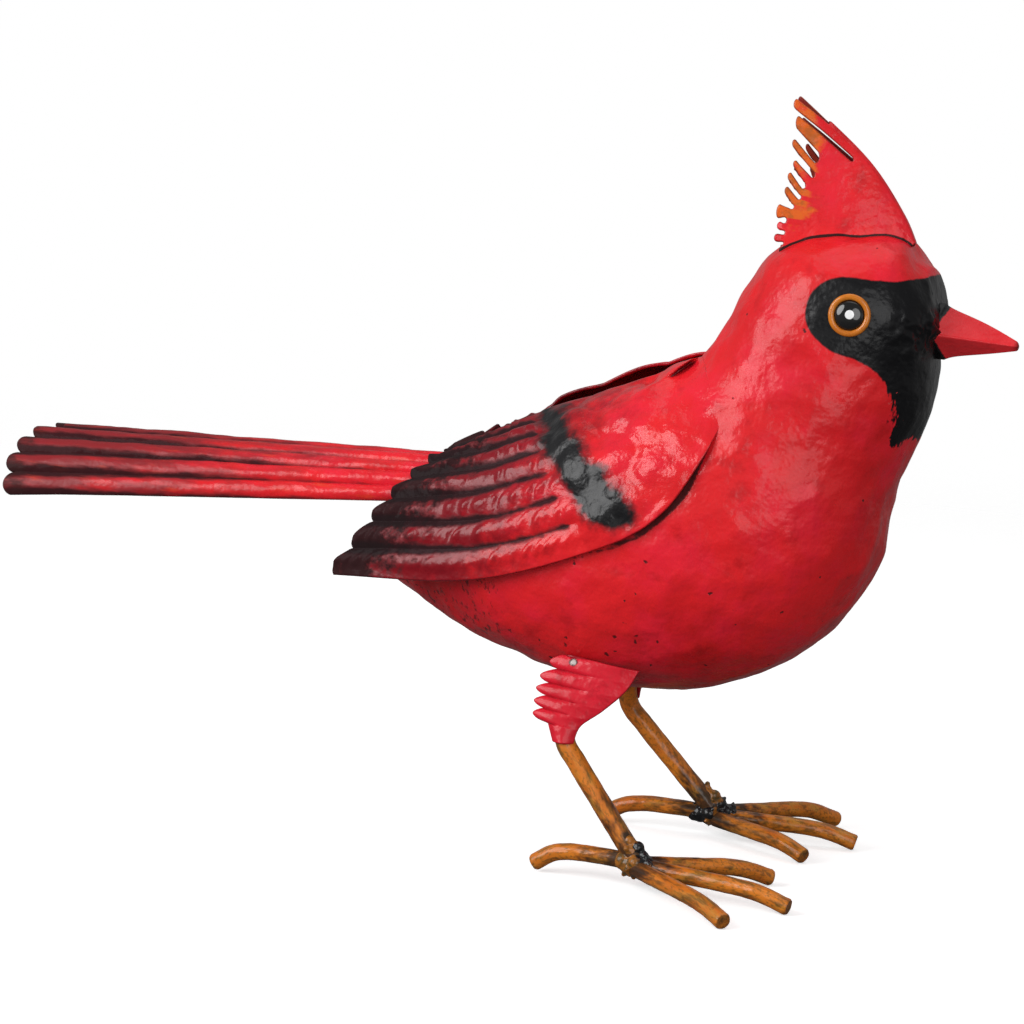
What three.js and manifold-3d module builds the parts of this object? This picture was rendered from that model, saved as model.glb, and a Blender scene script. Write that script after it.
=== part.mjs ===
// Garden ornament: a standing red cardinal, cut and hammered from sheet steel, on round rod legs.
// Millimetres, +Z up, the bird looks along +X, its left side is +Y, and it stands on Z = 0.
// The welded shell of torso and head is closed, so here each is one solid body.
import * as THREE from 'three';
import { mergeVertices } from 'three/addons/utils/BufferGeometryUtils.js';
import Module from 'manifold-3d';

const wasm = await Module();
wasm.setup();

// Driving sizes
const jointGap = 0.3;
const sheetThickness = 1.0;
const legDiameter = 6.0;
const toeDiameter = 5.7;
const footTrim = 0.55;

// Body shell, from the rump to the root of the beak.
// Each row: back point x, z, belly point x, z, and half width there.
const bodyStations = [
  [-40.0, 94.5, -40.0, 94.5, 0],
  [-35.5, 104.5, -37.8, 83.4, 8.5],
  [-12.0, 115.0, -13.2, 69.4, 22.5],
  [10.0, 125.5, 12.0, 60.5, 33],
  [32.0, 137.5, 46.0, 53.7, 39],
  [48.0, 147.0, 79.3, 58.6, 41],
  [58.5, 154.0, 104.7, 73.1, 40],
  [66.0, 161.8, 121.6, 96.2, 36.5],
  [71.4, 170.7, 127.0, 124.0, 32.5],
  [77.3, 183.2, 135.3, 147.0, 29.5],
  [88.2, 196.5, 136.9, 160.0, 27.8],
  [106.5, 200.6, 136.7, 166.0, 25.8],
  [123.8, 200.9, 137.0, 170.2, 20],
  [133.2, 193.2, 138.2, 173.2, 12],
  [137.6, 178.0, 137.6, 178.0, 0],
];
const bodySquareness = 2.2;
const bodyRings = 36;
const bodySides = 32;
const poleInset = 0.02;
const neckStation = 8.35;
const neckCut = 0.024;

// Beak: folded from sheet into a four-sided cone with a blunt tip
const beakRoot = { top: [138.0, 181.8], side: [136.0, 173.6], bottom: [139.0, 166.4], half: 9.8 };
const beakTip = { x: 161.0, top: 172.9, bottom: 170.4, half: 1.1 };
const beakBow = { top: 0.9, bottom: 0.27 };
const beakSunk = 7;

// Eyes
const eyeX = 115.3;
const eyeZ = 178.4;
const eyeRingRadius = 6.4;
const pupilRadius = 4.4;
// How high each stands over the head: at its edge and at its crown
const eyeRingRise = { edge: 0.35, crown: 1.1 };
const pupilRise = { edge: 0.4, crown: 2.0 };
const eyeRootDepth = 2.5;

// Crest: one sheet folded over the ridge, its back edge slit into fingers
const crestRidge = [[128.0, 197.5], [122.6, 207.9], [112.0, 221.6], [98.5, 233.2], [87.0, 241.4]];
const crestSeat = [[127.0, 197.0], [118.5, 199.0], [108.0, 199.0], [97.0, 195.2], [86.5, 193.5]];
// Half width between the two sides: how far they spread, how far back that is reached, how it eases in
const crestSpread = { half: 9.0, reachedAt: 0.8, ease: 0.8 };
const crestFold = 0.9;
const crestFoldWidth = 0.02;
const crestSplay = 1.9;
const crestStart = 0.05;
// Run past the end of the ridge, for a finger whose reach is more than 1
const crestOverrun = 42;
// Each finger: middle across the side (0 ridge, 1 seat), half width, tip reach, depth of the slit below it
const crestFingers = [
  [0.049, 0.031, 1.012, 0.60],
  [0.152, 0.044, 0.980, 0.79],
  [0.300, 0.029, 0.985, 0.80],
  [0.402, 0.027, 0.955, 0.85],
  [0.508, 0.028, 0.985, 0.87],
  [0.604, 0.028, 0.990, 0.91],
  [0.722, 0.044, 1.030, 0.95],
  [0.829, 0.025, 1.015, 0.95],
  [0.902, 0.025, 1.020, 0.95],
  [0.967, 0.024, 0.975, 0.935],
];
// The fingers' roots lie higher across the side than their tips
const crestFingerLift = { rise: 0.075, endsAt: 0.77 };

// Tail: nine ribbed feathers pressed into one arched sheet
const tailTip = { x: -161.0, crown: 115.6, radius: 28.0 };
const tailRoot = { x: -6.0, crown: 121.2, radius: 17.8 };
const tailHalfAngle = THREE.MathUtils.degToRad(73);
const tailFeathers = 9;
const tailRidge = 1.5;
const tailTipRound = { depth: 3.4, fullness: 0.96 };
const tailRowEase = 0.85;
// How much shorter each feather is than the longest, from the middle outwards
const tailSteps = [11, 4.5, 1.6, 0, 0.3];

// Wing: upper rim and lower edge, shoulder to tip, both for the right side
const wingRim = [
  [67.0, -9.0, 160.3], [52.0, -9.5, 152.9], [35.0, -8.5, 145.3], [15.0, -7.5, 137.6], [0.0, -6.5, 130.0],
  [-14.5, -8.0, 122.4],
];
const wingEdge = [
  [84.8, -35.0, 144.5], [78.0, -39.6, 131.0], [66.0, -42.2, 114.5], [48.0, -42.4, 102.4], [6.0, -38.0, 87.6],
  [-46.0, -30.0, 82.9],
];
const wingWaves = 5;
// The two wings were bent by hand: how high the rim stands and how much it waves
const wingBends = { right: { lift: 0, wave: 0.4 }, left: { lift: 2.9, wave: 1.3 } };
const wingLiftEase = 0.42;
const wingFeathers = 7;
const wingRidge = 1.2;
const wingStep = 1.2;
const wingCovertEnd = 0.6;
const wingCovertEase = { before: 0.02, after: 0.05 };
const wingStepBack = 4.1;
const wingTipRound = { rise: 1.1, fall: 0.25 };
const wingFan = 1.3;
// Length of a whole feather line per unit of its parameter near the tips
const wingReach = { rim: 80, edge: 260 };
// Middle of a sheet that lies against the body, measured from the body
const sheetStandOff = 0.9;

// Thigh plate: a pressed sheet from the belly down to a collar round the rod
const thighBack = [[35.4, 40.0], [32.6, 47.0], [32.2, 53.0], [32.8, 59.0], [37.0, 66.5]];
const thighFront = [[41.6, 40.0], [43.4, 45.5], [49.6, 50.8], [56.0, 57.5], [59.5, 64.2]];
const thighTeeth = { count: 5, depth: 5.0, from: 0.2, taper: 0.35 };
// How far the plate leans in from its collar to its top, right side then left side
const thighInset = [7.0, 9.3];
const thighBow = { collar: 1.3, top: 1.6 };
// Room between the rod and the inside of the collar
const collarRoom = 0.6;

// Legs and feet, right side
const legTop = { x: 40.0, out: 25.0, z: 66.0 };
const legBend = { x: 38.6, out: [33.3, 35.6], z: 40.5 };
const ankle = { x: 64.2, out: 40, z: 8.2 };
// Points that round the rod's bend: share of the way down to it, and of the way on to the ankle
const legRounding = { above: { x: -0.4, out: 0.65, z: 0.62 }, below: { x: 0.2, out: 0.2, z: 0.21 } };
// Toe tips: forward place and distance from the middle plane, right foot then left foot
const toeTips = {
  hind: [[32.6, 38.9], [30.0, 38.6]],
  outer: [[103.0, 77.1], [100.2, 77.3]],
  middle: [[115.0, 48.2], [112.6, 46.9]],
  inner: [[102.0, 14.4], [102.6, 18.2]],
};
const toeHeights = [7.6, 8.0, 6.7, 2.9];
const toeFractions = [0.04, 0.34, 0.7, 1];
const legLead = 1.3;
const toeSides = 10;
const legSides = 12;
const weldRadius = 5.4;
const weldLumps = { count: 6, radius: [1.7, 2.7], out: [0.62, 0.8], up: [0.4, 3.4], ahead: 1.4 };

const enamel = { red: '#d3201f', black: '#141314', ochre: '#c9791a', rod: '#b06a22', weld: '#26211c' };

// Small helpers for curves and closed bodies

function lerp(a, b, t) {
  return a + (b - a) * t;
}

function smoothstep(low, high, value) {
  return THREE.MathUtils.smoothstep(value, low, high);
}

function spline(rows) {
  const points = rows.map(row => new THREE.Vector3(row[0], row[1], row[2] ?? 0));
  return new THREE.CatmullRomCurve3(points, false, 'catmullrom', 0.5);
}

function closedBody(geometry) {
  const bare = geometry.clone();
  bare.deleteAttribute('normal');
  bare.deleteAttribute('uv');
  const merged = mergeVertices(bare, 1e-5);
  const mesh = new wasm.Mesh({
    numProp: 3,
    vertProperties: new Float32Array(merged.attributes.position.array),
    triVerts: new Uint32Array(merged.index.array),
  });
  return new wasm.Manifold(mesh);
}

function largestPiece(body) {
  const pieces = body.decompose();
  return pieces.reduce((best, piece) => (piece.volume() > best.volume() ? piece : best));
}

function geometryOf(body) {
  const mesh = largestPiece(body).getMesh();
  const geometry = new THREE.BufferGeometry();
  const positions = new Float32Array(mesh.numVert * 3);
  for (let i = 0; i < mesh.numVert; i += 1) {
    for (let axis = 0; axis < 3; axis += 1) {
      positions[3 * i + axis] = mesh.vertProperties[mesh.numProp * i + axis];
    }
  }
  geometry.setAttribute('position', new THREE.BufferAttribute(positions, 3));
  geometry.setIndex([...mesh.triVerts]);
  return geometry;
}

function meshFromLists(points, triangles) {
  const geometry = new THREE.BufferGeometry();
  const flat = points.flatMap(point => [point.x, point.y, point.z]);
  geometry.setAttribute('position', new THREE.BufferAttribute(new Float32Array(flat), 3));
  geometry.setIndex(triangles);
  return geometry;
}

// Closed skin over rings of equal count, each end closed by a fan of triangles
function skinRings(rings) {
  const points = rings.flat();
  const triangles = [];
  const count = rings[0].length;
  for (let ring = 0; ring < rings.length - 1; ring += 1) {
    for (let i = 0; i < count; i += 1) {
      const a = ring * count + i;
      const b = ring * count + (i + 1) % count;
      triangles.push(a, b, a + count, b, b + count, a + count);
    }
  }
  for (const [ring, turn] of [[0, 1], [rings.length - 1, -1]]) {
    const middle = new THREE.Vector3();
    rings[ring].forEach(point => middle.addScaledVector(point, 1 / count));
    const hub = points.push(middle) - 1;
    for (let i = 0; i < count; i += 1) {
      const a = ring * count + i;
      const b = ring * count + (i + 1) % count;
      triangles.push(...(turn > 0 ? [hub, b, a] : [hub, a, b]));
    }
  }
  return meshFromLists(points, triangles);
}

// Closed sheet of even thickness over a grid of points; cells where isOpen is true are left out
function sheetBody(rows, columns, place, thickness, isOpen = () => false) {
  const grid = [];
  for (let i = 0; i <= rows; i += 1) {
    grid.push([]);
    for (let j = 0; j <= columns; j += 1) grid[i].push(place(i, j));
  }
  const points = [];
  for (let i = 0; i <= rows; i += 1) {
    for (let j = 0; j <= columns; j += 1) {
      const along = grid[Math.min(i + 1, rows)][j].clone().sub(grid[Math.max(i - 1, 0)][j]);
      const across = grid[i][Math.min(j + 1, columns)].clone().sub(grid[i][Math.max(j - 1, 0)]);
      const normal = along.cross(across).normalize();
      points.push(grid[i][j].clone().addScaledVector(normal, thickness / 2));
      points.push(grid[i][j].clone().addScaledVector(normal, -thickness / 2));
    }
  }
  const vertex = (i, j, side) => 2 * (i * (columns + 1) + j) + side;
  const open = (i, j) => i < 0 || j < 0 || i >= rows || j >= columns || isOpen(i, j);
  const triangles = [];
  const wall = (i1, j1, i2, j2) => {
    const [a, b] = [vertex(i1, j1, 0), vertex(i2, j2, 0)];
    triangles.push(a, a + 1, b, b, a + 1, b + 1);
  };
  for (let i = 0; i < rows; i += 1) {
    for (let j = 0; j < columns; j += 1) {
      if (open(i, j)) continue;
      const corner = [vertex(i, j, 0), vertex(i + 1, j, 0), vertex(i + 1, j + 1, 0), vertex(i, j + 1, 0)];
      triangles.push(corner[0], corner[1], corner[2], corner[0], corner[2], corner[3]);
      const below = corner.map(index => index + 1);
      triangles.push(below[0], below[2], below[1], below[0], below[3], below[2]);
      if (open(i - 1, j)) wall(i, j + 1, i, j);
      if (open(i + 1, j)) wall(i + 1, j, i + 1, j + 1);
      if (open(i, j - 1)) wall(i, j, i + 1, j);
      if (open(i, j + 1)) wall(i + 1, j + 1, i, j + 1);
    }
  }
  const body = closedBody(meshFromLists(points, triangles));
  return body.volume() > 0 ? body : closedBody(meshFromLists(points, triangles.slice().reverse()));
}

// Round rod along a path; grow thickens it and carries it on past both ends
function rod(rows, radius, sides, steps, grow = 0) {
  const points = rows.map(row => new THREE.Vector3(...row));
  const last = points.length - 1;
  const before = points[0].clone().sub(points[1]).setLength(grow);
  const after = points[last].clone().sub(points[last - 1]).setLength(grow);
  points[0].add(before);
  points[last].add(after);
  const section = new THREE.Shape();
  section.absarc(0, 0, radius + grow, 0, 2 * Math.PI);
  const extrudePath = new THREE.CatmullRomCurve3(points, false, 'centripetal');
  const settings = { steps, extrudePath, curveSegments: sides / 2, bevelEnabled: false };
  return closedBody(new THREE.ExtrudeGeometry(section, settings));
}

// Body shell

const stationCount = bodyStations.length - 1;
const middleCurve = spline(bodyStations.map(([bx, bz, vx, vz]) => [(bx + vx) / 2, (bz + vz) / 2, 0]));
const leanCurve = spline(bodyStations.map(([bx, bz, vx, vz]) => {
  const still = bx === vx && bz === vz;
  return [still ? 0 : Math.atan2(bz - vz, bx - vx), 0, 0];
}));
const sizeCurve = spline(bodyStations.map(([bx, bz, vx, vz, half]) => {
  return [((bx - vx) ** 2 + (bz - vz) ** 2) / 4, half ** 2, 0];
}));

function bodySection(station) {
  const t = THREE.MathUtils.clamp(station / stationCount, 0, 1);
  const size = sizeCurve.getPoint(t);
  const middle = middleCurve.getPoint(t);
  const edge = 1 / stationCount;
  const lean = leanCurve.getPoint(THREE.MathUtils.clamp(t, edge, 1 - edge)).x;
  return {
    x: middle.x,
    z: middle.y,
    ux: Math.cos(lean),
    uz: Math.sin(lean),
    high: Math.sqrt(Math.max(size.x, 0)),
    half: Math.sqrt(Math.max(size.y, 0)),
  };
}

function bodyRing(station) {
  const section = bodySection(station);
  const ring = [];
  for (let i = 0; i < bodySides; i += 1) {
    const turn = 2 * Math.PI * i / bodySides;
    const c = Math.sign(Math.cos(turn)) * Math.abs(Math.cos(turn)) ** (2 / bodySquareness);
    const s = Math.sign(Math.sin(turn)) * Math.abs(Math.sin(turn)) ** (2 / bodySquareness);
    const up = section.high * c;
    ring.push(new THREE.Vector3(section.x + section.ux * up, -section.half * s, section.z + section.uz * up));
  }
  return ring;
}

// Every shell uses the same stations, so that a grown copy clears the plain one everywhere
const shellStations = Array.from({ length: bodyRings + 1 }, (_, i) => {
  return lerp(poleInset, stationCount - poleInset, i / bodyRings);
}).concat([neckStation, neckStation + neckCut]).sort((a, b) => a - b);

function bodyShell(first, last, grow = 0) {
  const kept = shellStations.filter(station => station >= first && station <= last);
  const geometry = skinRings(kept.map(bodyRing));
  geometry.computeVertexNormals();
  const { position, normal } = geometry.attributes;
  for (let i = 0; i < position.count; i += 1) {
    const place = new THREE.Vector3().fromBufferAttribute(position, i);
    place.addScaledVector(new THREE.Vector3().fromBufferAttribute(normal, i), grow);
    position.setXYZ(i, place.x, place.y, place.z);
  }
  return closedBody(geometry);
}

// Half width of the body shell at a point of its side view, 0 outside its outline
function bodyHalfWidth(x, z) {
  let widest = 0;
  const side = station => {
    const s = bodySection(station);
    return (x - s.x) * s.uz - (z - s.z) * s.ux;
  };
  const steps = 140;
  for (let i = 0; i < steps; i += 1) {
    let low = stationCount * i / steps;
    let high = stationCount * (i + 1) / steps;
    if (side(low) * side(high) > 0) continue;
    for (let halving = 0; halving < 12; halving += 1) {
      const mid = (low + high) / 2;
      if (side(low) * side(mid) > 0) low = mid;
      else high = mid;
    }
    const s = bodySection(low);
    const reach = Math.abs((x - s.x) * s.ux + (z - s.z) * s.uz) / Math.max(s.high, 1e-6);
    if (reach < 1) widest = Math.max(widest, s.half * (1 - reach ** bodySquareness) ** (1 / bodySquareness));
  }
  return widest;
}

const torsoBody = bodyShell(0, neckStation);
const headBody = bodyShell(neckStation + neckCut, stationCount);
const clearOfBody = bodyShell(0, stationCount, jointGap + 0.05);

// Beak

function beakBody() {
  const rings = [];
  const steps = 6;
  for (let i = 0; i <= steps; i += 1) {
    const t = (i - 1) / (steps - 1);
    const bow = Math.sin(Math.PI * Math.max(t, 0));
    const tipMiddle = (beakTip.top + beakTip.bottom) / 2;
    const high = lerp(beakRoot.top[1], beakTip.top, t) + beakBow.top * bow;
    const top = [lerp(beakRoot.top[0], beakTip.x, t), high];
    const side = [lerp(beakRoot.side[0], beakTip.x, t), lerp(beakRoot.side[1], tipMiddle, t)];
    const low = lerp(beakRoot.bottom[1], beakTip.bottom, t) - beakBow.bottom * bow;
    const bottom = [lerp(beakRoot.bottom[0], beakTip.x, t), low];
    const half = lerp(beakRoot.half, beakTip.half, t);
    const back = i === 0 ? beakSunk : 0;
    rings.push([
      new THREE.Vector3(top[0] - back, 0, top[1]),
      new THREE.Vector3(side[0] - back, -half, side[1]),
      new THREE.Vector3(bottom[0] - back, 0, bottom[1]),
      new THREE.Vector3(side[0] - back, half, side[1]),
    ]);
  }
  return closedBody(skinRings(rings)).subtract(clearOfBody);
}

// Eyes

function eyeSeat(side) {
  const step = 0.5;
  const y = bodyHalfWidth(eyeX, eyeZ);
  const slopeX = (bodyHalfWidth(eyeX + step, eyeZ) - bodyHalfWidth(eyeX - step, eyeZ)) / (2 * step);
  const slopeZ = (bodyHalfWidth(eyeX, eyeZ + step) - bodyHalfWidth(eyeX, eyeZ - step)) / (2 * step);
  const out = new THREE.Vector3(-slopeX, side, -slopeZ).normalize();
  const turn = new THREE.Quaternion().setFromUnitVectors(new THREE.Vector3(0, 1, 0), out);
  return new THREE.Matrix4().makeRotationFromQuaternion(turn).setPosition(eyeX, side * y, eyeZ);
}

function eyeRingBody(side) {
  const inner = pupilRadius + jointGap;
  const width = eyeRingRadius - inner;
  const profile = [new THREE.Vector2(inner, -eyeRootDepth), new THREE.Vector2(eyeRingRadius, -eyeRootDepth)];
  const steps = 4;
  for (let i = 0; i <= steps; i += 1) {
    const turn = Math.PI * i / steps;
    const bulge = lerp(eyeRingRise.edge, eyeRingRise.crown, Math.sin(turn));
    profile.push(new THREE.Vector2(inner + width * (1 + Math.cos(turn)) / 2, bulge));
  }
  profile.push(profile[0].clone());
  const ring = new THREE.LatheGeometry(profile, 18).applyMatrix4(eyeSeat(side));
  return closedBody(ring).subtract(clearOfBody);
}

function pupilBody(side) {
  const profile = [new THREE.Vector2(0, -eyeRootDepth), new THREE.Vector2(pupilRadius, -eyeRootDepth)];
  const steps = 5;
  for (let i = 0; i <= steps; i += 1) {
    const turn = Math.PI / 2 * i / steps;
    const bulge = lerp(pupilRise.edge, pupilRise.crown, Math.sin(turn));
    profile.push(new THREE.Vector2(i === steps ? 0 : pupilRadius * Math.cos(turn), bulge));
  }
  const dome = new THREE.LatheGeometry(profile, 16).applyMatrix4(eyeSeat(side));
  return closedBody(dome).subtract(clearOfBody);
}

// Crest

function crestBody() {
  const ridge = spline(crestRidge);
  const seat = spline(crestSeat);
  const rootRows = 5;
  const fingerRows = 2;
  const rows = rootRows + fingerRows;
  // Columns run over one side from the ridge to the seat: slit, finger, slit, finger
  const side = [];
  crestFingers.forEach(([middle, half, tip, slit], index) => {
    const above = index === 0 ? 0.5 : crestFingers[index - 1][3];
    side.push({ v: middle - half, tip, root: above, open: true });
    side.push({ v: middle, tip, root: (above + slit) / 2, open: false });
    side.push({ v: Math.min(middle + half, 1), tip, root: slit, open: false });
  });
  const columns = [...side.slice().reverse().map(entry => ({ ...entry, v: -entry.v })), ...side];
  const openCell = j => {
    if (j === side.length - 1) return true;
    return j < side.length ? side[side.length - 2 - j].open : side[j - side.length + 1].open;
  };
  const place = (i, j) => {
    const { v, tip, root } = columns[j];
    const across = Math.abs(v);
    const out = Math.max(i - rootRows, 0) / fingerRows;
    const u = i <= rootRows ? lerp(crestStart, root, i / rootRows) : lerp(root, tip, out);
    const bulge = Math.sin(Math.PI * Math.min(across / crestFingerLift.endsAt, 1));
    const lift = crestFingerLift.rise * (1 - out) * bulge;
    const top = ridge.getPoint(Math.min(u, 1));
    const low = seat.getPoint(Math.min(u, 1));
    const w = across + lift;
    const back = Math.sin(Math.PI / 2 * Math.min(u / crestSpread.reachedAt, 1));
    const spread = crestSpread.half * back * w ** crestSpread.ease;
    const splay = crestSplay * smoothstep(crestFingers[0][3], 1, u);
    const y = -Math.sign(v) * ((crestFold + splay) * Math.min(across / crestFoldWidth, 1) + spread);
    const over = Math.max(u - 1, 0) * crestOverrun;
    return new THREE.Vector3(lerp(top.x, low.x, w) - over, y, lerp(top.y, low.y, w));
  };
  const isOpen = (i, j) => i >= rootRows && openCell(j);
  return sheetBody(rows, columns.length - 1, place, sheetThickness, isOpen).subtract(clearOfBody);
}

// Tail

function tailBody() {
  const perFeather = 4;
  const columns = tailFeathers * perFeather;
  const rows = 9;
  const longest = tailRoot.x - tailTip.x;
  const place = (i, j) => {
    const feather = Math.min(Math.floor(j / perFeather), tailFeathers - 1);
    const q = 2 * (j / perFeather - feather) - 1;
    const fromMiddle = Math.abs((2 * j / columns - 1) * tailFeathers / 2);
    const index = Math.min(Math.floor(fromMiddle + 0.5), tailSteps.length - 1);
    const tipRound = tailTipRound.depth * (1 - Math.sqrt(1 - tailTipRound.fullness * q ** 2));
    const length = longest - tailSteps[index] - tipRound;
    const x = tailRoot.x - length * (i / rows) ** tailRowEase;
    const along = (tailRoot.x - x) / longest;
    const arch = lerp(tailRoot.radius, tailTip.radius, along);
    const radius = arch - tailRidge * q ** 2;
    const angle = tailHalfAngle * (2 * j / columns - 1);
    const crown = lerp(tailRoot.crown, tailTip.crown, along) - sheetThickness / 2;
    return new THREE.Vector3(x, radius * Math.sin(angle), crown - arch + radius * Math.cos(angle));
  };
  return sheetBody(rows, columns, place, sheetThickness).subtract(clearOfBody);
}

// Wings

const rimCurve = spline(wingRim);
const edgeCurve = spline(wingEdge);

function wingMiddle(a, b, bend) {
  const rim = rimCurve.getPoint(a);
  const edge = edgeCurve.getPoint(a);
  rim.z += bend.wave * Math.abs(Math.sin(Math.PI * wingWaves * a));
  rim.z += bend.lift * Math.sin(Math.PI * a ** wingLiftEase);
  const turn = Math.PI / 2 * b;
  const x = lerp(rim.x, edge.x, b ** wingFan);
  const y = rim.y + (edge.y - rim.y) * Math.sin(turn);
  const z = edge.z + (rim.z - edge.z) * Math.cos(turn);
  return new THREE.Vector3(x, y, z);
}

// How far the end of a feather is cut back at q, from its upper side -1 to its lower side 1
function featherCut(q) {
  const rise = Math.sin(Math.PI / 2 * Math.min((q + 1) / wingTipRound.rise, 1));
  const fall = wingTipRound.fall * Math.max(2 * q - 1, 0) ** 2;
  return wingStepBack * (0.5 + (q + 1) / 2 - rise + fall);
}

function wingBody(bend) {
  const perFeather = 3;
  const columns = wingFeathers * perFeather;
  const covertRows = 7;
  const featherRows = 9;
  const rows = covertRows + featherRows;
  const place = (i, j) => {
    const b = j / columns;
    const feather = Math.min(Math.floor(j / perFeather), wingFeathers - 1);
    const q = 2 * (j / perFeather - feather) - 1;
    const end = 1 - featherCut(q) / lerp(wingReach.rim, wingReach.edge, b);
    const a = i <= covertRows
      ? wingCovertEnd * i / covertRows
      : lerp(wingCovertEnd, end, (i - covertRows) / featherRows);
    const middle = wingMiddle(a, b, bend);
    const step = 0.01;
    const along = wingMiddle(Math.min(a + step, 1), b, bend).sub(wingMiddle(Math.max(a - step, 0), b, bend));
    const across = wingMiddle(a, Math.min(b + step, 1), bend).sub(wingMiddle(a, Math.max(b - step, 0), bend));
    const normal = across.cross(along).normalize();
    if (normal.y > 0) normal.negate();
    const behind = smoothstep(wingCovertEnd - wingCovertEase.before, wingCovertEnd + wingCovertEase.after, a);
    const relief = behind * (wingRidge * (1 - q * q) - wingStep);
    middle.addScaledVector(normal, relief);
    const least = bodyHalfWidth(middle.x, middle.z) + sheetStandOff;
    if (-middle.y < least) middle.y = -least;
    return middle;
  };
  return sheetBody(rows, columns, place, sheetThickness).subtract(clearOfBody);
}

// Thigh plates

function thighBody(foot) {
  const back = spline(thighBack);
  const front = spline(thighFront);
  const collar = legBend.out[foot] + (legDiameter + sheetThickness) / 2 + collarRoom;
  const rows = 20;
  const columns = 6;
  const place = (i, j) => {
    const t = i / rows;
    const v = 2 * j / columns - 1;
    const low = back.getPoint(t);
    const high = front.getPoint(t);
    const toothAt = Math.max((t - thighTeeth.from) / (1 - thighTeeth.from), 0) * thighTeeth.count;
    const tooth = thighTeeth.depth * (1 - t * thighTeeth.taper) * Math.abs(Math.sin(Math.PI * toothAt));
    const x = lerp(low.x - tooth, high.x, j / columns);
    const z = lerp(low.y, high.y, j / columns);
    const out = collar - thighInset[foot] * t - lerp(thighBow.collar, thighBow.top, t) * v * v;
    return new THREE.Vector3(x, -Math.max(out, bodyHalfWidth(x, z) + sheetStandOff), z);
  };
  const plate = sheetBody(rows, columns, place, sheetThickness);
  return plate.subtract(clearOfBody).subtract(legBody(foot, jointGap));
}

// Legs, toes and weld beads

function aboveFloor(body) {
  const slab = new THREE.BoxGeometry(400, 400, 20);
  slab.translate(0, 0, -10);
  return body.subtract(closedBody(slab));
}

// Toe of the foot on one side: 0 right, 1 left, both laid out on the right and mirrored later
function toeBody(name, foot, grow = 0) {
  const [tipX, tipOut] = toeTips[name][foot];
  const rows = toeFractions.map((fraction, index) => {
    const x = lerp(ankle.x, tipX, fraction);
    const y = -lerp(ankle.out, tipOut, fraction);
    return [x, y, toeHeights[index] - (index === toeFractions.length - 1 ? footTrim : 0)];
  });
  return aboveFloor(rod(rows, toeDiameter / 2, toeSides, 8, grow));
}

function legBody(foot, grow = 0) {
  const out = legBend.out[foot];
  const { above, below } = legRounding;
  const path = [
    [legTop.x, -legTop.out, legTop.z],
    [legBend.x + above.x, -lerp(legTop.out, out, above.out), lerp(legTop.z, legBend.z, above.z)],
    [legBend.x, -out, legBend.z],
    [lerp(legBend.x, ankle.x, below.x), -lerp(out, ankle.out, below.out), lerp(legBend.z, ankle.z, below.z)],
    [ankle.x + legLead, -ankle.out, ankle.z],
  ];
  return rod(path, legDiameter / 2, legSides, 11, grow);
}

// Repeatable spread of lumps over the bead
function spread(index, salt) {
  const value = Math.sin(index * 12.9898 + salt * 78.233) * 43758.5453;
  return value - Math.floor(value);
}

function weldBody() {
  const bead = (x, y, z, radius) => {
    const lump = new THREE.IcosahedronGeometry(radius, 1);
    lump.translate(x, y, z);
    return closedBody(lump);
  };
  let body = bead(ankle.x + 0.6, -ankle.out, ankle.z - 0.2, weldRadius);
  for (let i = 0; i < weldLumps.count; i += 1) {
    const turn = 2 * Math.PI * i / weldLumps.count;
    const out = weldRadius * lerp(...weldLumps.out, spread(i, 1));
    const x = ankle.x + weldLumps.ahead + out * Math.cos(turn);
    const y = out * Math.sin(turn) - ankle.out;
    const z = ankle.z + lerp(...weldLumps.up, spread(i, 2));
    body = body.add(bead(x, y, z, lerp(...weldLumps.radius, spread(i, 3))));
  }
  return body;
}

function footBodies(foot) {
  const outer = toeBody('outer', foot);
  const thickOuter = toeBody('outer', foot, jointGap);
  const hind = toeBody('hind', foot).subtract(thickOuter);
  const thickPair = thickOuter.add(toeBody('hind', foot, jointGap));
  const middle = toeBody('middle', foot).subtract(thickPair);
  const thickThree = thickPair.add(toeBody('middle', foot, jointGap));
  const inner = toeBody('inner', foot).subtract(thickThree);
  const thickToes = thickThree.add(toeBody('inner', foot, jointGap));
  const leg = legBody(foot).subtract(thickToes).subtract(clearOfBody);
  const weld = weldBody().subtract(thickToes).subtract(legBody(foot, jointGap));
  return { leg, toe_outer: outer, toe_middle: middle, toe_inner: inner, toe_hind: hind, ankle_weld: weld };
}

// Assembly

function finish(name, colour, roughness, metalness) {
  return new THREE.MeshStandardMaterial({ name, color: colour, roughness, metalness });
}

const statue = new THREE.Group();

function addPiece(name, body, material) {
  const mesh = new THREE.Mesh(geometryOf(body), material);
  mesh.name = name;
  statue.add(mesh);
  return mesh;
}

// A right-side piece and its mirror image on the left
function addPair(name, body, makeMaterial) {
  addPiece(`${name}_right`, body, makeMaterial());
  addPiece(`${name}_left`, body.mirror([0, 1, 0]), makeMaterial());
}

const redEnamel = () => finish('red_enamel', enamel.red, 0.3, 0);
const blackEnamel = () => finish('black_enamel', enamel.black, 0.12, 0);
const ochreEnamel = () => finish('ochre_enamel', enamel.ochre, 0.3, 0);
const rodPaint = () => finish('rod_paint', enamel.rod, 0.45, 0.1);
const weldSteel = () => finish('weld_steel', enamel.weld, 0.4, 0.6);

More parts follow.
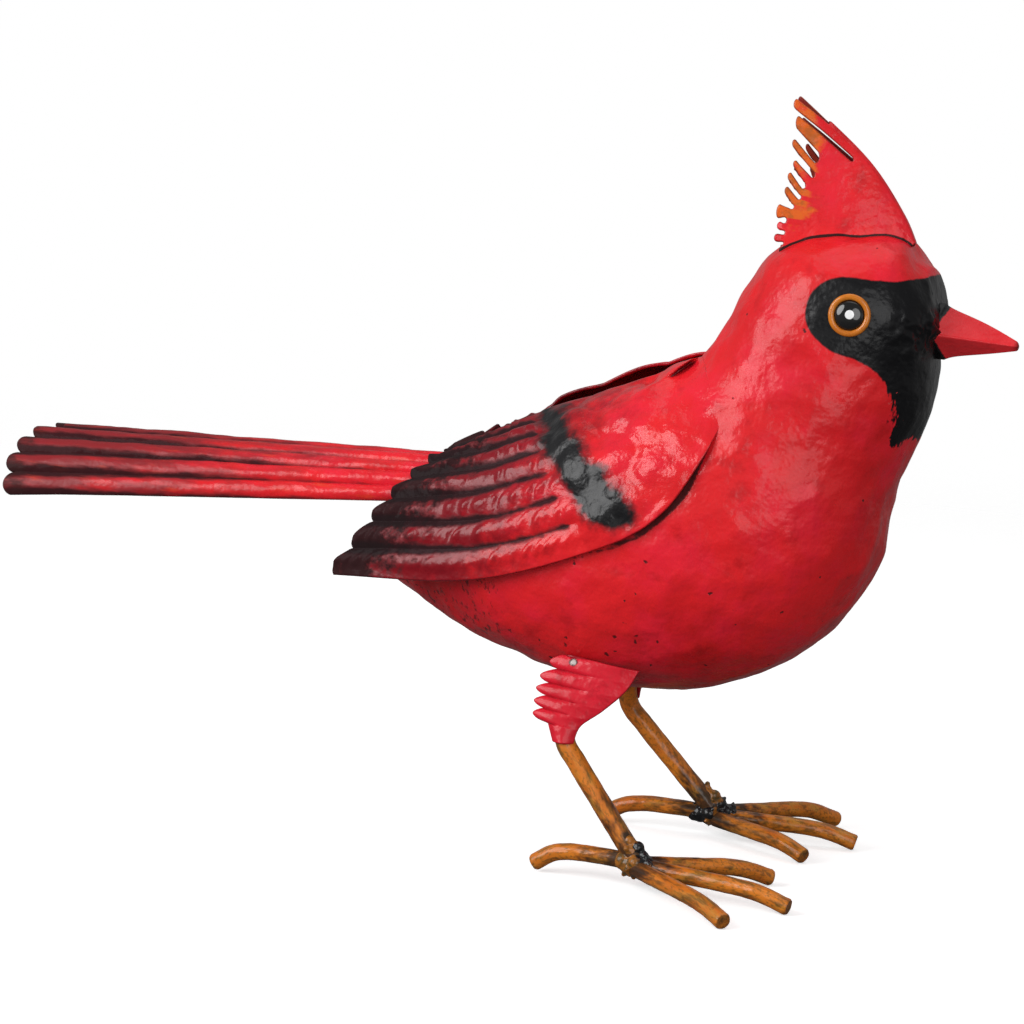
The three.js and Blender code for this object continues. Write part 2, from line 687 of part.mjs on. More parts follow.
addPiece('torso', torsoBody, redEnamel());
addPiece('head', headBody, redEnamel());
addPiece('beak', beakBody(), redEnamel());
addPiece('crest', crestBody(), redEnamel());
addPiece('tail', tailBody(), redEnamel());
addPiece('wing_right', wingBody(wingBends.right), redEnamel());
addPiece('wing_left', wingBody(wingBends.left).mirror([0, 1, 0]), redEnamel());
addPair('eye_ring', eyeRingBody(-1), ochreEnamel);
addPair('pupil', pupilBody(-1), blackEnamel);

['right', 'left'].forEach((side, foot) => {
  const thigh = thighBody(foot);
  addPiece(`thigh_${side}`, side === 'left' ? thigh.mirror([0, 1, 0]) : thigh, redEnamel());
  for (const [name, body] of Object.entries(footBodies(foot))) {
    const material = name === 'ankle_weld' ? weldSteel() : rodPaint();
    addPiece(`${name}_${side}`, side === 'left' ? body.mirror([0, 1, 0]) : body, material);
  }
});

export default statue;
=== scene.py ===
from math import cos, pi, radians, sin
import bpy
import numpy as np
from mathutils import Matrix, Vector
from mathutils.bvhtree import BVHTree
from mathutils.kdtree import KDTree


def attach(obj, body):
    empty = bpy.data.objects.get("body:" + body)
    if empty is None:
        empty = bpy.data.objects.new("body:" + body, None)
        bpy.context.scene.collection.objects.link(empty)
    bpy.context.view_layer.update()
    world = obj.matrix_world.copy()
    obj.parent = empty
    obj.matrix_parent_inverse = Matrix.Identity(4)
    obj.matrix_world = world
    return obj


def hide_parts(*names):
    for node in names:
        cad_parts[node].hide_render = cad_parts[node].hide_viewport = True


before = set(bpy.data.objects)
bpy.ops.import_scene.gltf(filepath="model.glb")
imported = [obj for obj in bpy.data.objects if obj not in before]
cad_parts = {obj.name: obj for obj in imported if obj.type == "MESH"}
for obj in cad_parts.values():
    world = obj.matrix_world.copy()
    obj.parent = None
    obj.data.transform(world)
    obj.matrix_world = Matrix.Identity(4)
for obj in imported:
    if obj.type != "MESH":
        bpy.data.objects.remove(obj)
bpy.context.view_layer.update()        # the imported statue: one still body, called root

mm = 0.001
tiny = 1e-12
sheetThickness = 1.0
sideSigns = {"Right": -1, "Left": 1}        # which way y runs on each side
scene = bpy.context.scene


# Small helpers

def lerp(a, b, t):
    return a + (b - a) * t


def smoothStep(low, high, value):
    t = np.clip((value - low) / (high - low), 0, 1)
    return t * t * (3 - 2 * t)


def crowd(count, strength):
    # Shares from 0 to 1 that lie closer together near both ends
    t = np.linspace(0, 1, count)
    return t - strength * np.sin(2 * pi * t) / (2 * pi)


def withEnds(rows):
    # One more knot before the first and after the last, straight on
    knots = np.asarray(rows, float)
    return np.vstack([2 * knots[0] - knots[1], knots, 2 * knots[-1] - knots[-2]])


def span(start, end, leave, arrive, w):
    # The stretch of a curve between two knots, from its direction at both
    cubic = 2 * start - 2 * end + leave + arrive
    return cubic * w ** 3 + (end - start - leave - cubic) * w ** 2 + leave * w + start


def curveAt(rows, t):
    knots = withEnds(rows)
    place = np.clip(np.asarray(t, float), 0, 1) * (len(knots) - 3)
    first = np.minimum(place.astype(int), len(knots) - 4)
    a, b, c, d = (knots[first + k] for k in range(4))
    return span(b, c, (c - a) / 2, (d - b) / 2, (place - first)[..., None])


def smoothPath(rows, perSpan=14):
    # Evenly bent through all rows, however unevenly they lie
    knots, w = withEnds(rows), (np.arange(perSpan) / perSpan)[:, None]
    spans = []
    for a, b, c, d in zip(knots, knots[1:], knots[2:], knots[3:]):
        before, here, after = (np.linalg.norm(q - p) ** 0.5 for p, q in ((a, b), (b, c), (c, d)))
        leave = ((b - a) / before - (c - a) / (before + here) + (c - b) / here) * here
        arrive = ((c - b) / here - (d - b) / (here + after) + (d - c) / after) * here
        spans.append(span(b, c, leave, arrive, w))
    return np.vstack([*spans, knots[-2]])


def closedOutline(rows, count):
    knots = np.asarray(rows, float)
    padded = np.vstack([knots[-2:], knots, knots[:3]])
    return curveAt(padded, (np.arange(count) / count * len(knots) + 2) / (len(padded) - 1))


def edgeDistance(points, outline):
    # Distance to a closed outline, in its own units: above 0 inside it, below 0 outside
    nearest, inside = np.full(len(points), 1e9), np.zeros(len(points), bool)
    for start, end in zip(outline, np.roll(outline, -1, axis=0)):
        run, reach = end - start, points - start
        share = np.clip(reach @ run / max(run @ run, tiny), 0, 1)
        nearest = np.minimum(nearest, np.linalg.norm(reach - share[:, None] * run, axis=1))
        crosses = (start[1] > points[:, 1]) != (end[1] > points[:, 1])
        if crosses.any():
            inside ^= crosses & (points[:, 0] < start[0] + reach[:, 1] / run[1] * run[0])
    return np.where(inside, nearest, -nearest)


def pointTree(places):
    # places: pairs of an index and a point
    tree = KDTree(len(places))
    for index, place in places:
        tree.insert(place, index)
    tree.balance()
    return tree


def newObject(name, data):
    made = bpy.data.objects.new(name, data)
    scene.collection.objects.link(made)
    return made


def setValues(mesh, values):
    # One float for each point, under each name
    for key, numbers in values.items():
        numbers = np.asarray(numbers, np.float32).ravel()
        mesh.attributes.new(key, "FLOAT", "POINT").data.foreach_set("value", numbers)


def makePiece(name, points, faces=(), values=None, material=None, edges=()):
    # Points are in millimetres
    mesh = bpy.data.meshes.new(name)
    mesh.from_pydata((np.asarray(points) * mm).tolist(), edges, faces)
    setValues(mesh, values or {})
    if material:
        mesh.materials.append(material)
    mesh.polygons.foreach_set("use_smooth", [True] * len(mesh.polygons))
    return newObject(name, mesh)


def placesOf(piece):
    return np.array([v.co for v in piece.data.vertices]) / mm


def sheetFaces(rows, columns, isOpen=None):
    corners = [(i * columns + j, (i + 1) * columns + j) for i in range(rows - 1) for j in range(columns - 1)
               if isOpen is None or not isOpen(i, j)]
    return np.array([(a, a + 1, b + 1, b) for a, b in corners])


def ringFaces(rings, around, poles=True):
    start, j = np.divmod(np.arange((rings - 1) * around), around)
    a, b = start * around + j, start * around + (j + 1) % around
    faces = np.stack([a, b, b + around, a + around], 1).tolist()
    if poles:
        first, last = rings * around, (rings - 1) * around
        faces += [((j + 1) % around, j, first) for j in range(around)]
        faces += [(last + j, last + (j + 1) % around, first + 1) for j in range(around)]
    return faces


def rimOf(faces):
    # For each point on a sheet's border, its neighbours along the border
    edges = np.sort(np.vstack([faces[:, [k, (k + 1) % 4]] for k in range(4)]), axis=1)
    pairs, uses = np.unique(edges, axis=0, return_counts=True)
    touching = {}
    for a, b in pairs[uses == 1].tolist():
        touching.setdefault(a, []).append(b)
        touching.setdefault(b, []).append(a)
    return touching


def edgeGaps(points, touching, reach=3.0):
    # Distance from each point to the border of its sheet, at most reach
    tree = pointTree([(index, points[index]) for index in touching])
    gaps = np.full(len(points), reach)
    for index, point in enumerate(points):
        place, near, gap = tree.find(point)
        if index in touching:
            gaps[index] = 0
        elif gap <= 2 * reach:
            for other in touching[near]:
                run, ahead = points[other] - points[near], point - points[near]
                share = min(max(ahead @ run / max(run @ run, tiny), 0), 1)
                gap = min(gap, np.linalg.norm(ahead - share * run))
            gaps[index] = min(gap, reach)
    return gaps


def faceDirections(points, faces):
    # Unit normals at the points, from the faces round them
    corners = points[faces]
    facing = np.cross(corners[:, 2] - corners[:, 0], corners[:, 3] - corners[:, 1])
    total = np.zeros_like(points)
    for k in range(4):
        np.add.at(total, faces[:, k], facing)
    return total / np.maximum(np.linalg.norm(total, axis=1, keepdims=True), tiny)


def makeSheet(name, points, faces, values, material, directions=None):
    # A sheet of even thickness with a rounded border; both skins share the border points
    if directions is None:
        directions = faceDirections(points, faces)
    used = np.zeros(len(points), bool)
    used[faces.ravel()] = True
    faces = (np.cumsum(used) - 1)[faces]
    points, directions = points[used], directions[used]
    touching = rimOf(faces)
    gaps = edgeGaps(points, touching)
    bend = 1 - np.clip(gaps / (sheetThickness / 2), 0, 1)
    push = directions * (sheetThickness / 2 * np.sqrt(1 - bend ** 2))[:, None]
    inner = np.ones(len(points), bool)
    inner[list(touching)] = False
    below = np.arange(len(points))
    below[inner] = len(points) + np.arange(inner.sum())
    allPoints = np.vstack([points + push, (points - push)[inner]])
    allFaces = np.vstack([faces, below[faces][:, ::-1]]).tolist()
    values = {**{key: np.ravel(numbers)[used] for key, numbers in values.items()}, "edgeGap": gaps}
    values = {key: np.concatenate([numbers, numbers[inner]]) for key, numbers in values.items()}
    values["inside"] = np.arange(len(allPoints)) >= len(points)
    values["lining"] = values["inside"] * values["edgeGap"]
    return makePiece(name, allPoints, allFaces, values, material)


def outwards(piece):
    # A closed shell whose faces point inwards is turned round
    mesh = piece.data
    mesh.calc_loop_triangles()
    corners = placesOf(piece)[np.array([t.vertices for t in mesh.loop_triangles])]
    if np.einsum("ij,ij->i", corners[:, 0], np.cross(corners[:, 1], corners[:, 2])).sum() < 0:
        mesh.flip_normals()
    return piece


def keep(piece, slot, *nodes):
    # The finished piece rides the root body in place of its solids
    outwards(piece)
    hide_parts(*nodes)
    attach(piece, "root")
    print(piece.name, "made:", len(piece.data.polygons), "faces")


# Camera, at the photograph's viewing angle

photoView = {"azimuth": 19.0, "elevation": 8.0, "roll": 4.0, "distance": 1.1, "lens": 122.1,
             "sensor": 36.0, "target": (0.0047, 0.0, 0.104)}


def placeCamera(view):
    data = bpy.data.cameras.new("photoCamera")
    data.lens, data.sensor_width = view["lens"], view["sensor"]
    scene.camera = newObject("photoCamera", data)
    place = Matrix.Translation(view["target"])
    for angle, axis in ((view["azimuth"], "Z"), (90 - view["elevation"], "X"), (view["roll"], "Z")):
        place = place @ Matrix.Rotation(radians(angle), 4, axis)
    scene.camera.matrix_world = place @ Matrix.Translation((0, 0, view["distance"]))


placeCamera(photoView)
print("camera placed")


# Node tools: a Flow is a value on its way through a tree, so a sum is written as a sum

class Flow:
    def __init__(self, socket):
        self.socket = socket
        self.tree = socket.id_data

    def step(self, operation, *others, kind="ShaderNodeMath", **settings):
        return add(self.tree, kind, dict(enumerate((self, *others))), operation=operation, **settings)

    def vectorStep(self, operation, *others):
        return self.step(operation, *others, kind="ShaderNodeVectorMath")

    def other(self, key):
        # Another output of the same node
        return Flow(self.socket.node.outputs[key])

    def atLeast(self, low):
        return self.step("MAXIMUM", low)

    def atMost(self, high):
        return self.step("MINIMUM", high)

    def __rsub__(self, other):
        return self * -1 + other


def operator(operation):
    return lambda self, other: self.step(operation, other)


for sign, operation in (("add", "ADD"), ("radd", "ADD"), ("sub", "SUBTRACT"), ("mul", "MULTIPLY"),
                        ("rmul", "MULTIPLY"), ("truediv", "DIVIDE"), ("pow", "POWER")):
    setattr(Flow, f"__{sign}__", operator(operation))


def add(tree, kind, inputs=None, out=0, **settings):
    # A new node, and one of its outputs; inputs by name or number, each a Flow or a plain value
    node = tree.nodes.new(kind)
    for key, value in settings.items():
        setattr(node, key, value)
    for key, value in (inputs or {}).items():
        if isinstance(value, Flow):
            tree.links.new(value.socket, node.inputs[key])
        else:
            node.inputs[key].default_value = value
    return Flow(node.outputs[out])


def newTree(name, kind, inputs):
    # inputs: name to default value, or to a socket type where there is none
    tree = bpy.data.node_groups.new(name, kind)
    for label, default in inputs.items():
        hasDefault = not isinstance(default, str)
        socketType = ("Int" if isinstance(default, int) else "Float") if hasDefault else default
        socket = tree.interface.new_socket(name=label, in_out="INPUT", socket_type="NodeSocket" + socketType)
        if hasDefault:
            socket.default_value = default
    start = tree.nodes.new("NodeGroupInput")
    return {label: Flow(start.outputs[label]) for label in inputs}


def endTree(results):
    tree = next(iter(results.values())).tree
    for label, flow in results.items():
        tree.interface.new_socket(name=label, in_out="OUTPUT", socket_type=flow.socket.bl_idname)
    end = tree.nodes.new("NodeGroupOutput")
    for label, flow in results.items():
        tree.links.new(flow.socket, end.inputs[label])
    return tree


def endWith(kind, flow):
    # Ends a material or the world
    output = flow.tree.nodes.new(kind)
    flow.tree.links.new(flow.socket, output.inputs["Surface"])


def emptyTree(block):
    block.use_nodes = True
    block.node_tree.nodes.clear()
    return block.node_tree


def attribute(tree, name):
    if tree.bl_idname == "GeometryNodeTree":
        return add(tree, "GeometryNodeInputNamedAttribute", {"Name": name}, data_type="FLOAT")
    return add(tree, "ShaderNodeAttribute", out="Fac", attribute_name=name)


def ramp(value, low, high):
    # 0 below low, 1 above high, smooth between
    return add(value.tree, "ShaderNodeMapRange", {"Value": value, "From Min": low, "From Max": high},
               interpolation_type="SMOOTHSTEP")


def blend(share, first, second):
    return add(share.tree, "ShaderNodeMix", {0: share, 6: first, 7: second}, out=2, data_type="RGBA")


def noiseAt(vector, scale, detail=2.0, roughness=0.5, out=0):
    return add(vector.tree, "ShaderNodeTexNoise",
               {"Vector": vector, "Scale": scale, "Detail": detail, "Roughness": roughness}, out)


def combined(x, y, z):
    return add(x.tree, "ShaderNodeCombineXYZ", {"X": x, "Y": y, "Z": z})


def parted(vector):
    x = add(vector.tree, "ShaderNodeSeparateXYZ", {0: vector})
    return x, x.other(1), x.other(2)


def strayed(vector, scale, detail, reach):
    # The same place, pushed about by noise
    return noiseAt(vector, scale, detail, out=1).vectorStep("MULTIPLY_ADD", (reach,) * 3, vector)


# Geometry tools

def shapeTree(name, sizes):
    return newTree(name, "GeometryNodeTree", {"Geometry": "Geometry", **sizes, "Material": "Material"})


def ended(geometry, material):
    tree = geometry.tree
    for kind in ("GeometryNodeSetShadeSmooth", "GeometryNodeRealizeInstances"):
        geometry = add(tree, kind, {0: geometry})
    painted = add(tree, "GeometryNodeSetMaterial", {"Geometry": geometry, "Material": material})
    return endTree({"Geometry": painted})


def stored(geometry, values):
    for name, value in values.items():
        inputs = {"Geometry": geometry, "Name": name, "Value": value}
        geometry = add(geometry.tree, "GeometryNodeStoreNamedAttribute", inputs,
                       data_type="FLOAT", domain="POINT")
    return geometry


def moved(geometry, **place):
    return add(geometry.tree, "GeometryNodeSetPosition", {"Geometry": geometry, **place})


def raised(geometry, lift):
    # Along the surface's own direction
    return moved(geometry, Offset=add(geometry.tree, "GeometryNodeInputNormal").vectorStep("MULTIPLY", lift))


def joined(*parts):
    join = parts[0].tree.nodes.new("GeometryNodeJoinGeometry")
    for part in parts:
        part.tree.links.new(part.socket, join.inputs[0])
    return Flow(join.outputs[0])


def aboveFloor(tree, low):
    x, y, z = parted(add(tree, "GeometryNodeInputPosition"))
    return combined(x, y, z.atLeast(low))


def shaped(piece, tree, values):
    # The tree runs on the piece, and what comes out of it becomes the plain mesh
    modifier = piece.modifiers.new(tree.name, "NODES")
    modifier.node_group = tree
    for item in tree.interface.items_tree:
        if item.item_type == "SOCKET" and item.in_out == "INPUT" and item.name in values:
            modifier[item.identifier] = values[item.name]
    depsgraph = bpy.context.evaluated_depsgraph_get()
    mesh = bpy.data.meshes.new_from_object(piece.evaluated_get(depsgraph), preserve_all_data_layers=True,
                                           depsgraph=depsgraph)
    piece.modifiers.clear()
    piece.data = mesh
    return piece


def beatenTree():
    # Beaten relief of the body and the wings: shallow round dents, slower waves and creases, in the mesh
    given = shapeTree("beatenRelief", {"Dent Size": 0.01, "Dent Depth": 0.0003, "Wave Size": 0.02,
                                       "Wave Depth": 0.0004, "Seed": 0.0})
    tree = given["Geometry"].tree
    shift = combined(given["Seed"], 0.0, given["Seed"])
    place = add(tree, "GeometryNodeInputPosition").vectorStep("ADD", shift)
    bent = strayed(place, 90.0, 1.0, 0.006)
    dents = add(tree, "ShaderNodeTexVoronoi", {"Vector": bent, "Scale": given["Dent Size"] ** -1.0,
                                               "Smoothness": 0.45}, feature="SMOOTH_F1")
    depth = dents ** 2.0 * 2.0 - 0.6
    waves = noiseAt(place, given["Wave Size"] ** -1.0) - 0.5
    lift = depth * given["Dent Depth"] + waves * 2.0 * given["Wave Depth"]
    folds = (noiseAt(bent, 260.0, 1.5) - 0.5) * attribute(tree, "crumple") * 0.0022
    return ended(raised(given["Geometry"], lift * attribute(tree, "beaten") + folds), given["Material"])


beaten = beatenTree()


# Paint: node groups that the enamels share, each with its own values

def shaderTree(name, inputs):
    given = newTree(name, "ShaderNodeTree", {"Vector": "Vector", **inputs})
    return given, given["Vector"]


def toneTree():
    # Two tones of one paint in soft patches, and a gloss that changes a little with them
    given, place = shaderTree("enamelTone", {"Light": "Color", "Deep": "Color", "Patch Scale": 30.0,
                                             "Roughness": 0.3, "Roughness Spread": 0.08})
    patches = ramp(noiseAt(place, given["Patch Scale"], 4.0, 0.6), 0.35, 0.7)
    fine = noiseAt(place, given["Patch Scale"] * 9.0, 3.0)
    share = (patches * 0.75 + fine * 0.25).step("MULTIPLY", 1.0, use_clamp=True)
    gloss = given["Roughness"] + (fine - 0.5) * given["Roughness Spread"] * 2.0
    return endTree({"Color": blend(share, given["Light"], given["Deep"]), "Roughness": gloss})


def edgeTree():
    # Where a second paint ends: a distance turned to a mask, with a ragged, brushed border
    given, place = shaderTree("paintEdge", {"Distance": 0.0, "Softness": 0.2, "Ragged": 0.5, "Scale": 300.0})
    bristles = noiseAt(place, given["Scale"], 3.0, 0.65) - 0.5
    border = given["Distance"] + bristles * given["Ragged"] * 2.0
    return endTree({"Mask": ramp(border, given["Softness"] * -1.0, given["Softness"])})


def washTree():
    # A thin dark or bright wash: an amount from 0 to 1, broken up by noise
    given, place = shaderTree("paintWash", {"Amount": 0.0, "Break": 0.6, "Contrast": 0.25, "Scale": 200.0})
    amount, spread = given["Amount"], given["Contrast"]
    level = amount + (noiseAt(place, given["Scale"], 4.0, 0.6) - 0.5) * given["Break"] * 2.0
    return endTree({"Mask": ramp(level, 0.5 - spread, 0.5 + spread) * ramp(amount, 0.0, 0.08)})


def chipTree():
    # Small pits and chips scattered over a surface
    given, place = shaderTree("paintChips", {"Scale": 200.0, "Size": 0.2, "Amount": 0.2})
    cells = add(place.tree, "ShaderNodeTexVoronoi",
                {"Vector": strayed(place, 700.0, 2.0, 0.0022), "Scale": given["Scale"]})
    chance = add(place.tree, "ShaderNodeSeparateColor", {"Color": cells.other("Color")})
    size = given["Size"] * (chance.other(1) * 0.8 + 0.3)
    spot = 1.0 - ramp(cells, size * 0.6, size)
    return endTree({"Mask": spot * chance.step("LESS_THAN", given["Amount"])})


def skinTree():
    # Fine height for a bump: brush marks and orange peel in the enamel
    given, place = shaderTree("enamelSkin", {"Ripple Scale": 160.0, "Ripple Height": 0.15,
                                             "Peel Scale": 900.0, "Peel Height": 0.02})
    ripple, peel = (noiseAt(place, given[name + " Scale"]) * given[name + " Height"]
                    for name in ("Ripple", "Peel"))
    return endTree({"Height": ripple + peel})


groups = {"tone": toneTree(), "edge": edgeTree(), "wash": washTree(), "chips": chipTree(), "skin": skinTree()}


# What lies over the first paint. source is a number or the name of an attribute: a distance for edge
# and rim, an amount for wash and chips. A stretch below 1 draws the pattern out along that axis

def layer(kind, colour, inputs, **look):
    return {"kind": kind, "colour": colour, "inputs": inputs, "gain": 1.0, "offset": 0.0,
            "stretch": (1, 1, 1), "strength": 1.0, "roughness": None, "height": None, **look}


def edge(source, colour, softness, ragged, scale=300.0, **look):
    # Paint where the distance is above 0
    inputs = {"Distance": source, "Softness": softness, "Ragged": ragged, "Scale": scale}
    return layer("edge", colour, inputs, **look)


def rim(source, within, colour, softness, ragged, scale=300.0, **look):
    # Paint where the distance is less than within
    return edge(source, colour, softness, ragged, scale, gain=-1.0, offset=within, **look)


def wash(source, colour, broken, contrast, scale, **look):
    inputs = {"Amount": source, "Break": broken, "Contrast": contrast, "Scale": scale}
    return layer("wash", colour, inputs, **look)


def chips(source, colour, scale, size, **look):
    return layer("chips", colour, {"Amount": source, "Scale": scale, "Size": size}, **look)


plainLook = {"patch": 30.0, "roughness": 0.3, "spread": 0.08, "coat": 0.5, "coatRoughness": 0.1,
             "specular": 0.25, "bump": 0.5, "skin": {}, "isRod": False}


def opaque(colour):
    return (*colour, 1)


def enamel(name, look, layers, **changes):
    material, look = bpy.data.materials.new(name), {**plainLook, **look, **changes}
    tree = emptyTree(material)
    place = add(tree, "ShaderNodeTexCoord", out="Object")
    if look["isRod"]:
        # Along and round the rod, so that streaks follow it
        place = combined(attribute(tree, "along") * 0.0004 + parted(place)[1] * 0.3,
                         attribute(tree, "turnX") * 0.0028, attribute(tree, "turnY") * 0.0028)
    colour = add(tree, "ShaderNodeGroup", {
        "Vector": place, "Light": opaque(look["light"]), "Deep": opaque(look["deep"]),
        "Patch Scale": look["patch"], "Roughness": look["roughness"], "Roughness Spread": look["spread"],
    }, node_tree=groups["tone"])
    roughness = colour.other("Roughness")
    height = add(tree, "ShaderNodeGroup", {"Vector": place, **look["skin"]}, node_tree=groups["skin"])
    for part in layers:
        inputs = {key: attribute(tree, value) if isinstance(value, str) else value
                  for key, value in part["inputs"].items()}
        source = next(iter(inputs))
        if isinstance(inputs[source], Flow):
            inputs[source] = inputs[source] * part["gain"] + part["offset"]
        inputs["Vector"] = place.vectorStep("MULTIPLY", part["stretch"])
        mask = add(tree, "ShaderNodeGroup", inputs, node_tree=groups[part["kind"]]) * part["strength"]
        colour = blend(mask, colour, opaque(part["colour"]))
        if part["roughness"] is not None:
            roughness = roughness + mask * (part["roughness"] - look["roughness"])
        if part["height"] is not None:
            height = height + mask * part["height"]
    bump = add(tree, "ShaderNodeBump", {"Height": height, "Strength": look["bump"], "Distance": mm})
    endWith("ShaderNodeOutputMaterial", add(tree, "ShaderNodeBsdfPrincipled", {
        "Base Color": colour, "Roughness": roughness, "Metallic": 0.0, "Coat Weight": look["coat"],
        "Coat Roughness": look["coatRoughness"], "Specular IOR Level": look["specular"],
        "Normal": bump, "Coat Normal": bump}))
    return material


# The soot colour also paints the shadow line under the wing's lower edge
paint = {"red": (0.84, 0.017, 0.022), "deepRed": (0.62, 0.009, 0.014), "black": (0.006, 0.006, 0.007),
         "sootAndShadow": (0.02, 0.006, 0.006), "bare": (0.55, 0.5, 0.47), "olive": (0.05, 0.042, 0.012)}
redSkin = {"Ripple Scale": 230.0, "Ripple Height": 0.65, "Peel Scale": 800.0, "Peel Height": 0.1}
redLook = {"light": paint["red"], "deep": paint["deepRed"], "patch": 24.0, "coat": 0.12,
           "coatRoughness": 0.15, "specular": 0.24, "bump": 0.7, "skin": redSkin}
mottle = [wash(0.42, (0.86, 0.016, 0.05), 0.6, 0.2, 55, strength=0.6),
          wash(0.34, (0.42, 0.006, 0.01), 0.62, 0.12, 120, strength=0.45)]
print("paint groups made")


# Body: torso and head in one skin

body = {
    # Back point x, z, belly point x, z, half width
    "stations": [
        [-40, 94.5, -40, 94.5, 0], [-35.5, 104.5, -38.3, 82.4, 8.5], [-12, 115, -13.3, 69.3, 22.5],
        [10, 125.5, 12, 60.5, 33], [32, 137.5, 46, 54.1, 39], [48, 147, 79.3, 58.8, 41],
        [58.5, 154, 104.9, 73, 40], [66, 161.8, 121.6, 96.2, 36.5], [71.4, 170.7, 126.9, 124, 32.5],
        [77.1, 183.3, 135.3, 148.8, 29.5], [88, 196.7, 136.9, 159.6, 27.8], [106.5, 200.6, 136.6, 166, 25.8],
        [123.8, 200.7, 137, 170.2, 20], [133.2, 193.1, 138.2, 173.2, 12], [137.6, 178, 137.6, 178, 0],
    ],
    "squareness": 2.2, "rings": 290, "around": 250, "pole": 0.004,
    "relief": {"Dent Size": 0.0095, "Dent Depth": 0.00055, "Wave Size": 0.018, "Wave Depth": 0.00065,
               "Seed": 0.31},
    # Painted shadow on the body along the lower edge of the wing, where the gap under the wing is: x, z, half
    # width
    "crease": [[78, 140, 0.5], [76.2, 134, 1.1], [72.2, 122, 1.25], [66, 114, 1.2], [58.2, 107, 1.0],
               [48, 101.7, 0.7], [30, 94.9, 0.55], [6, 87.2, 0.5], [-30, 83, 0.5]],
    # Black mask round the eye, side view x, z; it runs on past the front, so that both sides meet
    "mask": [[145, 191.6], [132.9, 190.3], [128, 189.3], [124.9, 189.1], [118.8, 189.2], [112.2, 189.4],
             [107, 187.8], [103.6, 184.6], [102, 180.8], [102, 176.6], [104, 172.6], [107.9, 169.2],
             [111.9, 167], [117.9, 165.5], [123.3, 162.7], [126.6, 159.2], [128.6, 154.8], [129, 149.5],
             [128.4, 144.5], [129.2, 140.6], [132, 141.4], [145, 142.5]],
}


def bodyPoints():
    rows = np.array(body["stations"], float)
    last = len(rows) - 1
    t = np.linspace(body["pole"], last - body["pole"], body["rings"]) / last
    backX, backZ, bellyX, bellyZ, half = rows.T
    middle = curveAt(np.stack([(backX + bellyX) / 2, (backZ + bellyZ) / 2], 1), t)
    lean = np.arctan2(backZ - bellyZ, backX - bellyX)
    lean[[0, -1]] = 0
    lean = curveAt(lean[:, None], np.clip(t, 1 / last, 1 - 1 / last))
    squares = np.stack([((backX - bellyX) ** 2 + (backZ - bellyZ) ** 2) / 4, half ** 2], 1)
    sizes = np.sqrt(np.maximum(curveAt(squares, t), 0)).T[..., None]
    turn = 2 * pi * np.arange(body["around"]) / body["around"]
    up, out = (size * np.sign(wave) * np.abs(wave) ** (2 / body["squareness"])
               for size, wave in zip(sizes, (np.cos(turn), np.sin(turn))))
    x, z = middle[:, :1] + np.cos(lean) * up, middle[:, 1:] + np.sin(lean) * up
    points = np.stack([x, -out, z], -1)
    return np.vstack([points.reshape(-1, 3), points[0].mean(0), points[-1].mean(0)])


def makeBody():
    points = bodyPoints()
    x, y, z = points.T
    mask = edgeDistance(points[:, [0, 2]], closedOutline(body["mask"], 240))
    # The bib's lower border is painted by hand, so it waves across the chest
    mask = mask + smoothStep(148, 143, z) * (0.8 * np.sin(y * 0.42 + 1) + 0.5 * np.sin(y * 1.1))
    # A painted shadow line on the body, just under the wing's lower edge
    crease = smoothPath(body["crease"], 8)
    tree = pointTree([(index, (row[0], 0, row[1])) for index, row in enumerate(crease)])
    near = [tree.find((point[0], 0, point[2]))[1:] for point in points]
    values = {
        "beaten": smoothStep(-40, -30, x) * (1 - 0.5 * smoothStep(-4, 2, mask)),
        "crumple": smoothStep(9.0, 2.0, np.hypot((x - 133.5) * 1.1, (z - 174.5) * 0.75)) * 1.25,
        "mask": mask,
        "ragged": 0.35 + 3.0 * smoothStep(166, 150, z),
        "crease": [crease[index, 2] - distance for index, distance in near],
        "scuff": 0.45 * smoothStep(168, 158, z) * smoothStep(-2.5, -0.3, mask) * smoothStep(3.5, 0.8, mask),
        "scratch": smoothStep(34, 8, x) * smoothStep(100, 88, z) * smoothStep(58, 70, z) * 0.37,
        # Painted shade: the paint turns darker crimson towards the bottom and under the lower rear
        "underShade": smoothStep(95, 56, z) * 0.4 + smoothStep(20, -30, x) * 0.35 * smoothStep(112, 96, z),
        "pits": 0.03 + 0.2 * smoothStep(110, 66, z) + 0.12 * smoothStep(30, 0, x),
    }
    piece = outwards(makePiece("bodySkin", points, ringFaces(body["rings"], body["around"]), values))
    return shaped(piece, beaten, {**body["relief"], "Material": bodyEnamel})


bodyEnamel = enamel("bodyEnamel", redLook, mottle + [
    # Painted shade, darker crimson towards the bottom and the lower rear
    wash("underShade", (0.16, 0.004, 0.008), 0.55, 0.35, 60, strength=0.6),
    wash("scratch", (0.05, 0.006, 0.006), 0.67, 0.06, 340, stretch=(1.3, 1, 0.6), strength=0.75,
         height=-0.2),
    chips("pits", (0.035, 0.006, 0.006), 300, 0.22, height=-0.12, roughness=0.6, strength=0.9),
    # Near black under the wing's lower edge: painted shadow of the gap between wing and body
    edge("crease", paint["sootAndShadow"], 0.3, 0.35, 320, roughness=0.7, strength=0.92),
    edge("mask", (0.002, 0.002, 0.003), 0.3, "ragged", 420, stretch=(1, 1, 0.4), roughness=0.36),
    chips("scuff", (0.72, 0.06, 0.06), 520, 0.3),
])
bodySkin = makeBody()
keep(bodySkin, "red_enamel", "torso", "head")
bodyShape = BVHTree.FromPolygons([v.co[:] for v in bodySkin.data.vertices],
                                 [p.vertices[:] for p in bodySkin.data.polygons])


